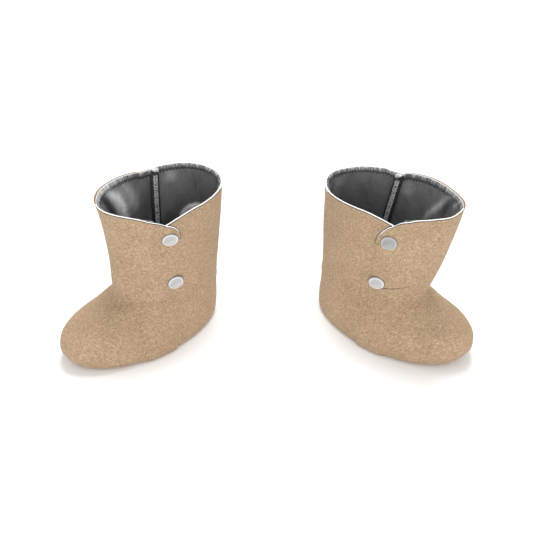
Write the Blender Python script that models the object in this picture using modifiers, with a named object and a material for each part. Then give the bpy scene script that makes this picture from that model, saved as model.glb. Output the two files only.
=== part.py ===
"""A pair of lined boot covers for small boots, standing side by side with the toes turned out.

Each cover is cut as a front, a back and a sole. The front wraps the toe and the shin and ends in a
rounded flap, which laps over the back on the inner side of the ankle and is held by two snaps. The
front and the back meet in a seam on the outer side. A satin lining follows both, with a puckered
hem inside the rim.

Sizes are in millimetres in the foot's own frame: x runs from the heel to the toe, y towards the
closure and z up, with x = 0 at the back of the heel. A point of the cloth is given by its angle
round the leg, in degrees (0 at the toe, 90 at the closure, 180 at the heel), by its height, and by
its offset, in millimetres outwards from the outer face of the plain wall.
"""
import math

import bmesh
import bpy
import numpy as np
from mathutils import Vector

MM = 0.001

# Cloth
OUTER_WALL = 1.4
LINING_WALL = 1.0
SEAM_GAP = 0.3
LINING_FACE = -(OUTER_WALL + SEAM_GAP)
LINING_BACK = LINING_FACE - LINING_WALL
FLAP_LIFT = OUTER_WALL + SEAM_GAP
SKIVED_EDGE = 0.8

# Foot sections common to both covers, and the crease at the front of the ankle
SECTION_COLUMNS = ("height", "back_x", "front_x", "back_half", "front_half", "tilt")
FOOT_SECTIONS = (
    (0.0, 2.0, 129.0, 29.5, 38.0, 0.0),
    (3.0, 0.0, 135.5, 31.5, 40.0, 0.0),
    (8.0, -1.0, 139.5, 32.0, 39.5, 0.0),
    (15.0, -1.5, 142.5, 32.0, 37.5, 0.0),
    (22.0, -1.5, 142.0, 31.5, 35.0, 0.0),
    (28.0, -1.5, 138.0, 31.5, 32.5, 0.0),
    (33.0, -1.5, 124.0, 31.0, 30.0, 0.0),
    (38.0, -2.0, 114.0, 31.0, 27.0, 0.0),
    (43.0, -2.0, 105.0, 30.5, 24.0, 0.0),
)
RIM_HEIGHT = 132.0
SHAFT_SHARES = (0.06, 0.25, 0.5, 0.75, 1.0, 1.05)

# What differs between the covers as they stand. The crease and the rim are sections of the columns
# above; the lean is how far the rim moves to the toe; the bow is how far the shin stands forward
# half way up. The flap rows are height and x of its free edge, and the seam rows of the outer seam.
# The snaps are x and height.
COVERS = {
    "left": {
        "side": -1,
        "heel": (-47.4, 38.2),
        "turn": 36.0,
        "lean": -4.5,
        "bow": -2.5,
        "crease": (48.0, -2.0, 92.5, 30.0, 21.5, 0.0),
        "rim": (RIM_HEIGHT, -6.5, 103.5, 30.0, 30.5, 13.0),
        "notch": {"angle": 76.0, "depth": 13.5, "toe_reach": 60.0, "heel_reach": 48.0},
        "flap": ((0.0, 56.0), (50.0, 44.0), (102.0, 43.5), (RIM_HEIGHT, 43.0)),
        "seam": ((0.0, 40.0), (60.0, 33.0), (RIM_HEIGHT, 29.5)),
        "corner_drop": 17.0,
        "upper_snap": (53.2, 103.0),
        "lower_snap": (49.0, 60.0),
        "folds": (
            {"angle": -24.0, "spread": 5.0, "depth": 1.3, "foot": 78.0, "head": 122.0},
            {"angle": -40.0, "spread": 6.0, "depth": 1.8, "foot": 84.0, "head": 126.0},
            {"angle": -58.0, "spread": 5.0, "depth": 1.1, "foot": 90.0, "head": 126.0},
        ),
    },
    "right": {
        "side": 1,
        "heel": (48.1, 46.2),
        "turn": 38.0,
        "lean": 11.0,
        "bow": 2.5,
        "crease": (50.0, -2.0, 94.5, 30.0, 21.5, 0.0),
        "rim": (RIM_HEIGHT, -8.5, 111.5, 26.5, 35.0, 18.0),
        "notch": {"angle": 67.0, "depth": 8.0, "toe_reach": 24.0, "heel_reach": 28.0},
        "flap": ((0.0, 54.0), (60.0, 57.5), (102.0, 63.5), (RIM_HEIGHT, 66.0)),
        "seam": ((0.0, 40.0), (60.0, 38.0), (RIM_HEIGHT, 48.0)),
        "corner_drop": 22.0,
        "upper_snap": (77.9, 105.0),
        "lower_snap": (67.9, 62.0),
        "folds": (
            {"angle": -44.0, "spread": 6.0, "depth": 1.6, "foot": 80.0, "head": 125.0},
            {"angle": -62.0, "spread": 5.0, "depth": 1.0, "foot": 86.0, "head": 124.0},
        ),
    },
}

# The rim stands a little higher at the outer heel quarter
CROWN_ANGLE = 225.0
CROWN_HEIGHT = 3.0
CROWN_SHARPNESS = 4

# Cut lines
OVERLAP = 23.0
LIFT_START = 14.0
LIFT_END = 2.0
TUCK_FALL = 0.5
WALL_ROWS = (0.0, 1.2, 3.0, 8.0, 15.0, 22.0, 27.0, 31.0, 36.0, 42.0, 47.0, 50.0, 54.0, 62.0, 78.0, 97.0)
LINING_ROWS = (4.0, 15.0, 27.0, 31.0, 36.0, 42.0, 47.0, 50.0, 54.0, 62.0, 78.0, 97.0)
TOP_ROWS = 2
RIM_TRIES = 6
WALL_STEP = 10.0
FLAP_SHARES = (0.12, 0.24, 0.38, 0.52, 0.64, 0.74, 0.83, 0.91, 0.965, 1.0)

# Hem
HEM_DEPTH = 4.6
HEM_FACE = LINING_FACE - 0.3
HEM_WALL = 1.1
HEM_TOP_GAP = 0.3
PUCKER_DEPTH = 0.8
PUCKER_PITCH = 3.0
HEM_END_MARGIN = 5.0

# Seam allowance inside
ALLOWANCE_HALF = 3.2
ALLOWANCE_CREST = 2.0
ALLOWANCE_WALL = 2.0
ALLOWANCE_ROWS = (6.0, 15.0, 24.0, 31.0, 36.0, 42.0, 47.0, 50.0, 54.0, 64.0, 78.0, 97.0, 114.0, 130.0)

# Sole
SOLE_WALL = 1.6
SOLE_INSET = 0.6
SOLE_BEVEL = 2.4
SOLE_STEP = 7.5

# Snaps
CAP_PROFILE = ((0.0, 0.0), (6.0, 0.0), (6.6, 0.6), (6.2, 1.5), (5.2, 1.9), (4.6, 1.65), (0.0, 2.0))
CAP_SEAT = 0.35
STUD_RADIUS = 5.5
STUD_WALL = 1.2
STUD_SEAT = 0.6
TURNED_STEPS = 20

COLOURS = {
    "nubuck": ((0.55, 0.39, 0.26, 1.0), 0.9),
    "satin": ((0.065, 0.065, 0.067, 1.0), 0.45),
    "hem_satin": ((0.15, 0.15, 0.155, 1.0), 0.5),
    "overcast": ((0.34, 0.34, 0.35, 1.0), 0.6),
    "snap_plastic": ((0.6, 0.6, 0.61, 1.0), 0.3),
}


def slopes(at, values):
    """Slopes of a smooth curve through the values that doesn't overshoot between them."""
    steps = np.diff(at)
    rises = np.diff(values) / steps
    out = np.zeros(len(values))
    out[0] = rises[0]
    out[-1] = rises[-1]
    for k in range(1, len(values) - 1):
        if rises[k - 1] * rises[k] > 0:
            before = 2 * steps[k] + steps[k - 1]
            after = steps[k] + 2 * steps[k - 1]
            out[k] = (before + after) / (before / rises[k - 1] + after / rises[k])
    return out


def smooth_curve(at, values, where):
    """Values of the smooth curve through a column at other heights."""
    tangents = slopes(at, values)
    where = np.clip(where, at[0], at[-1])
    k = np.clip(np.searchsorted(at, where) - 1, 0, len(at) - 2)
    span = at[k + 1] - at[k]
    t = (where - at[k]) / span
    start = (2 * t**3 - 3 * t**2 + 1) * values[k] + (t**3 - 2 * t**2 + t) * span * tangents[k]
    end = (3 * t**2 - 2 * t**3) * values[k + 1] + (t**3 - t**2) * span * tangents[k + 1]
    return start + end


def ease(value):
    """Smooth step from 0 to 1."""
    value = np.clip(value, 0.0, 1.0)
    return value * value * (3.0 - 2.0 * value)


class Cover:
    """The shape of one cover and where it stands."""

    def __init__(self, sizes):
        self.sizes = sizes
        low = np.array(sizes["crease"])
        high = np.array(sizes["rim"])
        bow_column = SECTION_COLUMNS.index("front_x")
        rows = [np.array(row) for row in FOOT_SECTIONS]
        rows.append(low)
        for share in SHAFT_SHARES:
            row = low + (high - low) * share
            row[bow_column] += 4.0 * sizes["bow"] * share * (1.0 - share)
            rows.append(row)
        table = np.array(rows)
        for name in ("back_x", "front_x"):
            table[:, SECTION_COLUMNS.index(name)] += sizes["lean"] * table[:, 0] / RIM_HEIGHT
        self.sections = dict(zip(SECTION_COLUMNS, table.T))

    def base(self, angle, height):
        """Point on the outer face of the plain wall."""
        turn = np.radians(angle)
        at = self.sections["height"]
        column = {n: smooth_curve(at, v, height) for n, v in self.sections.items()}
        to_toe = 0.5 * (1.0 + np.cos(turn))
        half = column["back_half"] + (column["front_half"] - column["back_half"]) * to_toe
        heel_centre = column["back_x"] + column["back_half"]
        toe_centre = column["front_x"] - column["front_half"]
        x = heel_centre + (toe_centre - heel_centre) * to_toe + half * np.cos(turn)
        y = half * np.sin(turn)
        along = (x - column["back_x"]) / (column["front_x"] - column["back_x"])
        z = height + column["tilt"] * (along - 0.5)
        return np.stack([x, y, z], axis=-1)

    def normal(self, angle, height):
        """Outward direction of the plain wall."""
        angle_step = 0.5
        height_step = 0.2
        top = self.sections["height"][-1]
        round_leg = self.base(angle + angle_step, height) - self.base(angle - angle_step, height)
        upper = np.minimum(height + height_step, top)
        lower = np.maximum(height - height_step, 0.0)
        up_leg = self.base(angle, upper) - self.base(angle, lower)
        out = np.cross(round_leg, up_leg)
        return out / np.linalg.norm(out, axis=-1, keepdims=True)

    def point(self, angle, height, offset):
        """Point at an offset from the plain wall, never below the ground."""
        angle, height, offset = np.broadcast_arrays(angle, height, offset)
        out = self.base(angle, height) + self.normal(angle, height) * offset[..., None]
        out[..., 2] = np.maximum(out[..., 2], 0.0)
        return out

    def stand(self, points):
        """Foot frame to the shared frame, in metres."""
        sizes = self.sizes
        turn = math.radians(sizes["turn"])
        toe = np.array([sizes["side"] * math.cos(turn), -math.sin(turn), 0.0])
        inner = np.array([-sizes["side"] * math.sin(turn), -math.cos(turn), 0.0])
        up = np.array([0.0, 0.0, 1.0])
        heel = np.array([*sizes["heel"], 0.0])
        points = np.asarray(points)
        placed = heel + points[..., :1] * toe + points[..., 1:2] * inner + points[..., 2:] * up
        return placed * MM

    def crown(self, angle):
        """Height of the rim before the notch is cut."""
        facing = np.maximum(np.cos(np.radians(angle - CROWN_ANGLE)), 0.0)
        return RIM_HEIGHT + CROWN_HEIGHT * facing**CROWN_SHARPNESS

    def notched(self, angle):
        """Height of the rim with its notch at the closure."""
        notch = self.sizes["notch"]
        away = angle - notch["angle"]
        reach = np.where(away < 0.0, notch["toe_reach"], notch["heel_reach"])
        left = np.clip(1.0 - np.abs(away) / reach, 0.0, 1.0)
        return self.crown(angle) - notch["depth"] * left**2

    def angle_at(self, x, height, outer_side=False):
        """Angle of the wall's point at an x, on the closure's side or on the outer side."""
        at = self.sections["height"]
        column = {n: smooth_curve(at, v, height) for n, v in self.sections.items()}
        heel_centre = column["back_x"] + column["back_half"]
        toe_centre = column["front_x"] - column["front_half"]
        square = 0.5 * (column["front_half"] - column["back_half"])
        linear = 0.5 * (toe_centre - heel_centre) + column["back_half"] + square
        constant = 0.5 * (toe_centre + heel_centre) - x
        root = np.sqrt(linear**2 - 4.0 * square * constant)
        angle = np.degrees(np.arccos(np.clip(-2.0 * constant / (linear + root), -1.0, 1.0)))
        return 360.0 - angle if outer_side else angle

    def line(self, name, height, shift=0.0, outer_side=False):
        """Angle of a cut line at a height, moved towards the toe by the shift."""
        heights, places = zip(*self.sizes[name])
        x = smooth_curve(np.array(heights), np.array(places), height)
        return self.angle_at(x + shift, height, outer_side)

    def flap_edge(self, height):
        """Angle of the flap's free edge."""
        return self.line("flap", height)

    def tuck(self, height, shift=0.0):
        """Angle of the edge of the back that lies under the flap."""
        return self.line("flap", height, OVERLAP + shift)

    def seam(self, height, shift=0.0):
        """Angle of the outer seam."""
        return self.line("seam", height, shift, outer_side=True)

    def front_top(self, angle):
        """Top edge of the front: the rim, then the flap's rounded corner."""
        notch = self.sizes["notch"]["angle"]
        edge = self.flap_edge(RIM_HEIGHT)
        past = np.clip((angle - notch) / (edge - notch), 0.0, 1.0)
        corner = self.sizes["corner_drop"] * (1.0 - np.sqrt(1.0 - past**2))
        return np.where(angle < notch, self.notched(angle), self.notched(notch) - corner)

    def back_top(self, angle):
        """Top edge of the back: the rim, then a slow fall under the flap."""
        notch = self.sizes["notch"]["angle"]
        fall = self.notched(notch) - TUCK_FALL * (notch - angle)
        return np.where(angle < notch, fall, self.notched(angle))

    def lift(self, angle, height):
        """How far the front stands out to pass over the back."""
        start = self.tuck(height, LIFT_START)
        end = self.tuck(height, LIFT_END)
        return FLAP_LIFT * ease((angle - start) / (end - start))


def new_object(name, colour):
    """An empty mesh object with its own material."""
    mesh = bpy.data.meshes.new(name)
    obj = bpy.data.objects.new(name, mesh)
    parts.objects.link(obj)
    finish(obj, colour)
    return obj


def finish(obj, colour):
    """Give an object its own material."""
    rgba, roughness = COLOURS[colour]
    material = bpy.data.materials.new(obj.name)
    material.use_nodes = True
    shader = material.node_tree.nodes["Principled BSDF"]
    shader.inputs["Base Color"].default_value = rgba
    shader.inputs["Roughness"].default_value = roughness
    shader.inputs["Metallic"].default_value = 0.0
    obj.data.materials.clear()
    obj.data.materials.append(material)


def fill_mesh(obj, points, faces):
    """Closed mesh from points and faces, with its faces turned out and its rounds smooth."""
    smooth_angle = math.radians(40.0)
    shape = bmesh.new()
    corners = [shape.verts.new(tuple(p)) for p in points]
    for face in faces:
        shape.faces.new([corners[k] for k in face])
    bmesh.ops.recalc_face_normals(shape, faces=shape.faces[:])
    shape.to_mesh(obj.data)
    shape.free()
    obj.data.shade_smooth()
    obj.data.set_sharp_from_angle(angle=smooth_angle)


def cloth(name, colour, cover, outer, inner):
    """A wall of cloth between two grids of points, given as rows of columns."""
    rows, columns = outer.shape[:2]
    grid = np.arange(rows * columns).reshape(rows, columns)
    other = grid + rows * columns
    faces = []
    for i in range(rows - 1):
        for j in range(columns - 1):
            faces.append((grid[i, j], grid[i, j + 1], grid[i + 1, j + 1], grid[i + 1, j]))
            faces.append((other[i, j], other[i + 1, j], other[i + 1, j + 1], other[i, j + 1]))
    for i in range(rows - 1):
        for j in (0, columns - 1):
            faces.append((grid[i, j], grid[i + 1, j], other[i + 1, j], other[i, j]))
    for j in range(columns - 1):
        for i in (0, rows - 1):
            faces.append((grid[i, j], other[i, j], other[i, j + 1], grid[i, j + 1]))
    points = cover.stand(np.concatenate([outer.reshape(-1, 3), inner.reshape(-1, 3)]))
    obj = new_object(name, colour)
    fill_mesh(obj, points, faces)
    return obj


def height_grid(rows, top, below=0.0):
    """Heights of a piece: its lower rows as they are, and the last ones spread up to its top."""
    top = top - below
    lower = np.repeat(np.array(rows)[:, None], len(top), axis=1)
    shares = np.arange(1, TOP_ROWS + 1)[:, None] / TOP_ROWS
    upper = lower[-1] + (top - lower[-1]) * shares
    return np.vstack([lower, upper])


def between(start, end, shares):
    """Angles at shares of the way from one line to another, a row for each height."""
    start = np.atleast_1d(start)[:, None]
    end = np.atleast_1d(end)[:, None]
    return start + (end - start) * np.asarray(shares)


def even_shares(start, end):
    """Shares for columns about a wall step apart."""
    return np.linspace(0.0, 1.0, round(abs(float(end - start)) / WALL_STEP) + 1)


def at_own_heights(columns, row):
    """Angle of each column at its own height in a row."""
    return np.diagonal(columns(row))


def settle(columns, rows, top, below=0.0):
    """Angles and heights of a grid whose top row follows a rim. The columns give angles for heights."""
    rim_angles = columns(np.array([RIM_HEIGHT]))[0]
    for _ in range(RIM_TRIES):
        heights = height_grid(rows, top(rim_angles), below)
        rim_angles = at_own_heights(columns, heights[-1])
    angles = np.array([at_own_heights(columns, row) for row in heights])
    return angles, heights


def plain_front_columns(cover, heights):
    """Columns of the front from the outer seam to where the flap starts to lift."""
    shares = even_shares(cover.seam(RIM_HEIGHT) - 360.0, cover.tuck(RIM_HEIGHT, LIFT_START))
    return between(cover.seam(heights, 0.5 * SEAM_GAP) - 360.0, cover.tuck(heights, LIFT_START), shares)


def front_columns(cover, heights):
    """Columns of the front, out to the flap's free edge."""
    flap = between(cover.tuck(heights, LIFT_START), cover.flap_edge(heights), FLAP_SHARES)
    return np.hstack([plain_front_columns(cover, heights), flap])


def front_lining_columns(cover, heights):
    """Columns of the front lining, which ends just short of the tucked edge of the back."""
    last = between(cover.tuck(heights, LIFT_START), cover.tuck(heights, 2.0 * SEAM_GAP), (0.5, 1.0))
    return np.hstack([plain_front_columns(cover, heights), last])


def back_columns(cover, heights):
    """Columns of the back and of its lining, from the tucked edge to the outer seam."""
    shares = even_shares(cover.tuck(RIM_HEIGHT), cover.seam(RIM_HEIGHT))
    return between(cover.tuck(heights), cover.seam(heights, -0.5 * SEAM_GAP), shares)


def front_panel(side, cover):
    """Front: shin, instep and toe in one, with the closing flap."""
    angles, heights = settle(lambda h: front_columns(cover, h), WALL_ROWS, cover.front_top)
    lift = cover.lift(angles, heights)
    outer = lift.copy()
    outer[:, -1] -= SKIVED_EDGE * 0.75
    outer[:, -2] -= SKIVED_EDGE * 0.35
    cloth(f"{side}_front", "nubuck", cover, cover.point(angles, heights, outer),
          cover.point(angles, heights, lift - OUTER_WALL))


def back_panel(side, cover):
    """Back: calf and heel in one, tucked under the flap."""
    angles, heights = settle(lambda h: back_columns(cover, h), WALL_ROWS, cover.back_top)
    cloth(f"{side}_back", "nubuck", cover, cover.point(angles, heights, 0.0),
          cover.point(angles, heights, -OUTER_WALL))


def fold_depth(cover, angles, heights):
    """How far the soft folds push the lining inwards."""
    depth = np.zeros_like(heights)
    for fold in cover.sizes["folds"]:
        across = np.exp(-((angles - fold["angle"]) / fold["spread"]) ** 2)
        along = np.clip((heights - fold["foot"]) / (fold["head"] - fold["foot"]), 0.0, 1.0)
        depth += fold["depth"] * across * np.sin(np.pi * along)
    return depth


def lining(side, cover, name, columns, top):
    """One lining panel, from just above the sole to just below the hem."""
    below = HEM_DEPTH + HEM_TOP_GAP + SEAM_GAP
    angles, heights = settle(columns, LINING_ROWS, top, below)
    depth = fold_depth(cover, angles, heights)
    cloth(f"{side}_{name}", "satin", cover, cover.point(angles, heights, LINING_FACE - depth),
          cover.point(angles, heights, LINING_BACK - depth))


def hem(side, cover, name, start, end, top):
    """Puckered hem of the lining, just inside the rim."""
    rim = cover.base(np.linspace(start, end, 90), np.full(90, RIM_HEIGHT))
    count = round(np.linalg.norm(np.diff(rim, axis=0), axis=1).sum() / PUCKER_PITCH)
    angles = np.linspace(start, end, 2 * count + 1)
    wave = PUCKER_DEPTH * (np.arange(len(angles)) % 2)
    upper = top(angles) - HEM_TOP_GAP
    heights = np.stack([upper - HEM_DEPTH, upper])
    inward = np.stack([wave, 0.5 * wave])
    cloth(f"{side}_{name}", "hem_satin", cover, cover.point(angles, heights, HEM_FACE),
          cover.point(angles, heights, HEM_FACE - HEM_WALL - inward))


def seam_allowance(side, cover):
    """Overcast edges of the outer seam, which stand as a ridge inside the cover."""
    face = LINING_BACK - SEAM_GAP
    crest = face - ALLOWANCE_WALL
    section = ((-ALLOWANCE_HALF, face), (ALLOWANCE_HALF, face), (ALLOWANCE_HALF, 0.5 * (face + crest)),
               (ALLOWANCE_CREST, crest), (-ALLOWANCE_CREST, crest), (-ALLOWANCE_HALF, 0.5 * (face + crest)))
    across, offsets = (np.array(column) for column in zip(*section))
    rings = []
    for height in ALLOWANCE_ROWS:
        angles = cover.seam(height, across)
        rings.append(cover.point(angles, height, offsets))
    sides = len(section)
    faces = [tuple(range(sides)), tuple(range((len(rings) - 1) * sides, len(rings) * sides))]
    for i in range(len(rings) - 1):
        for j in range(sides):
            low = i * sides
            after = (j + 1) % sides
            faces.append((low + j, low + after, low + sides + after, low + sides + j))
    obj = new_object(f"{side}_seam", "overcast")
    fill_mesh(obj, cover.stand(np.concatenate(rings)), faces)


def sole(side, cover):
    """Flat sole, which fits inside the lower edge of the walls."""
    angles = np.arange(0.0, 360.0, SOLE_STEP)
    edge = cover.base(angles, np.zeros_like(angles))
    inward = -cover.normal(angles, np.full_like(angles, 1.0))
    inward[:, 2] = 0.0
    inward /= np.linalg.norm(inward, axis=1, keepdims=True)
    lower = edge + inward * SOLE_INSET
    upper = edge + inward * (SOLE_INSET + SOLE_BEVEL) + np.array([0.0, 0.0, SOLE_WALL])
    count = len(angles)
    faces = [tuple(range(count)), tuple(range(count, 2 * count))]
    for j in range(count):
        after = (j + 1) % count
        faces.append((j, after, count + after, count + j))
    obj = new_object(f"{side}_sole", "nubuck")
    fill_mesh(obj, cover.stand(np.concatenate([lower, upper])), faces)


def seat(obj, cover, x, height, offset):
    """Set a turned piece on the wall, with its own z axis along the wall's outward direction."""
    height = np.array([height])
    angle = cover.angle_at(x, height)
    here = cover.stand(cover.point(angle, height, np.array([offset])))[0]
    out = cover.stand(cover.point(angle, height, np.array([offset + 1.0])))[0] - here
    obj.location = Vector(here)
    obj.rotation_mode = "QUATERNION"
    obj.rotation_quaternion = Vector(out).to_track_quat("Z", "Y")


def snap_cap(side, cover, place):
    """Round cap of a snap, on the flap."""
    obj = new_object(f"{side}_{place}_snap", "snap_plastic")
    points = [(radius * MM, 0.0, height * MM) for radius, height in CAP_PROFILE]
    edges = [(k, k + 1) for k in range(len(points) - 1)]
    obj.data.from_pydata(points, edges, [])
    turned = obj.modifiers.new("Turn", "SCREW")
    turned.steps = TURNED_STEPS
    turned.render_steps = TURNED_STEPS
    turned.use_merge_vertices = True
    turned.merge_threshold = 0.00005
    turned.use_smooth_shade = True
    turned.use_normal_flip = True
    seat(obj, cover, *cover.sizes[f"{place}_snap"], FLAP_LIFT + CAP_SEAT)


def snap_stud(side, cover, place):
    """Inner half of a snap, on the lining."""
    bpy.ops.mesh.primitive_cylinder_add(vertices=TURNED_STEPS, radius=STUD_RADIUS * MM, depth=STUD_WALL * MM)
    obj = bpy.context.object
    for collection in list(obj.users_collection):
        collection.objects.unlink(obj)
    parts.objects.link(obj)
    obj.name = f"{side}_{place}_stud"
    obj.data.name = obj.name
    finish(obj, "snap_plastic")
    obj.data.shade_smooth()
    obj.data.set_sharp_from_angle(angle=math.radians(40.0))
    seat(obj, cover, *cover.sizes[f"{place}_snap"], LINING_BACK - STUD_SEAT - 0.5 * STUD_WALL)


def make_cover(side):
    """Every piece of one cover."""
    cover = Cover(COVERS[side])
    front_panel(side, cover)
    back_panel(side, cover)
    sole(side, cover)
    lining(side, cover, "front_lining", lambda h: front_lining_columns(cover, h), cover.front_top)
    lining(side, cover, "back_lining", lambda h: back_columns(cover, h), cover.back_top)
    hem_start = cover.seam(RIM_HEIGHT, HEM_END_MARGIN) - 360.0
    hem_end = cover.seam(RIM_HEIGHT, -HEM_END_MARGIN)
    hem(side, cover, "front_hem", hem_start, cover.tuck(RIM_HEIGHT, 4.0 * SEAM_GAP), cover.front_top)
    hem(side, cover, "back_hem", cover.tuck(RIM_HEIGHT), hem_end, cover.back_top)
    seam_allowance(side, cover)
    for place in ("upper", "lower"):
        snap_cap(side, cover, place)
        snap_stud(side, cover, place)


for old in list(bpy.data.objects):
    bpy.data.objects.remove(old, do_unlink=True)
parts = bpy.data.collections.new("boot_covers")
bpy.context.scene.collection.children.link(parts)
for cover_side in COVERS:
    make_cover(cover_side)
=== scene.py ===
"""Looks of a pair of lined boot covers: nubuck outside, crinkled grey satin inside, four snaps.

Each cloth solid gets a finer shell of the same form, with rounded rims, pale cut edges, puckers,
stitches and soft folds. Sizes are in millimetres in the foot's own frame, as in the part's source:
x runs from the heel to the toe, y towards the closure and z up. A point of the cloth is given by
its angle round the leg (0 at the toe, 90 at the closure, 180 at the heel), its height, and its
offset outwards from the outer face of the plain wall.
"""
import math

import bmesh
import bpy
import numpy as np
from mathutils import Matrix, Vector


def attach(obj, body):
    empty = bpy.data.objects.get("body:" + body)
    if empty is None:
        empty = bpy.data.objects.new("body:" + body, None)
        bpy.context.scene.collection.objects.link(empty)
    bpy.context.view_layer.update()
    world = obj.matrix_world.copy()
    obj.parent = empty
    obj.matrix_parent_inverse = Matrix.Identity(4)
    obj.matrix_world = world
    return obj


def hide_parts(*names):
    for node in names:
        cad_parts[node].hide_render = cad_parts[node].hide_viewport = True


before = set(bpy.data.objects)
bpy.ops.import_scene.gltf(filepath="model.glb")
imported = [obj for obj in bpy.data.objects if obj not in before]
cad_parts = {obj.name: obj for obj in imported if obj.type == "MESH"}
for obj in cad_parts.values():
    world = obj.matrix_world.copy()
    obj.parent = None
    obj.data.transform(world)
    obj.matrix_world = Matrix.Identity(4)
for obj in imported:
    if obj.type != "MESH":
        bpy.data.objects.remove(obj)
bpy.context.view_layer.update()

MM = 0.001

# Cloth
OUTER_WALL = 1.4
LINING_WALL = 1.0
SEAM_GAP = 0.3
LINING_FACE = -(OUTER_WALL + SEAM_GAP)
LINING_BACK = LINING_FACE - LINING_WALL
FLAP_LIFT = OUTER_WALL + SEAM_GAP

# Foot sections common to both covers
SECTION_COLUMNS = ("height", "back_x", "front_x", "back_half", "front_half", "tilt")
FOOT_SECTIONS = (
    (0.0, 2.0, 129.0, 29.5, 38.0, 0.0),
    (3.0, 0.0, 135.5, 31.5, 40.0, 0.0),
    (8.0, -1.0, 139.5, 32.0, 39.5, 0.0),
    (15.0, -1.5, 142.5, 32.0, 37.5, 0.0),
    (22.0, -1.5, 142.0, 31.5, 35.0, 0.0),
    (28.0, -1.5, 138.0, 31.5, 32.5, 0.0),
    (33.0, -1.5, 124.0, 31.0, 30.0, 0.0),
    (38.0, -2.0, 114.0, 31.0, 27.0, 0.0),
    (43.0, -2.0, 105.0, 30.5, 24.0, 0.0),
)
RIM_HEIGHT = 132.0
SHAFT_SHARES = (0.06, 0.25, 0.5, 0.75, 1.0, 1.05)

# Folds of the lining that both covers have, with painted sheen by their tone
COMMON_FOLDS = (
    {"path": ((40.0, 112.0), (36.0, 90.0), (38.0, 66.0)), "depth": 1.0, "width": 6.0, "tone": 0.3},
    {"path": ((128.0, 120.0), (132.0, 96.0), (126.0, 70.0)), "depth": 1.0, "width": 5.0, "tone": 0.3},
)
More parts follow.
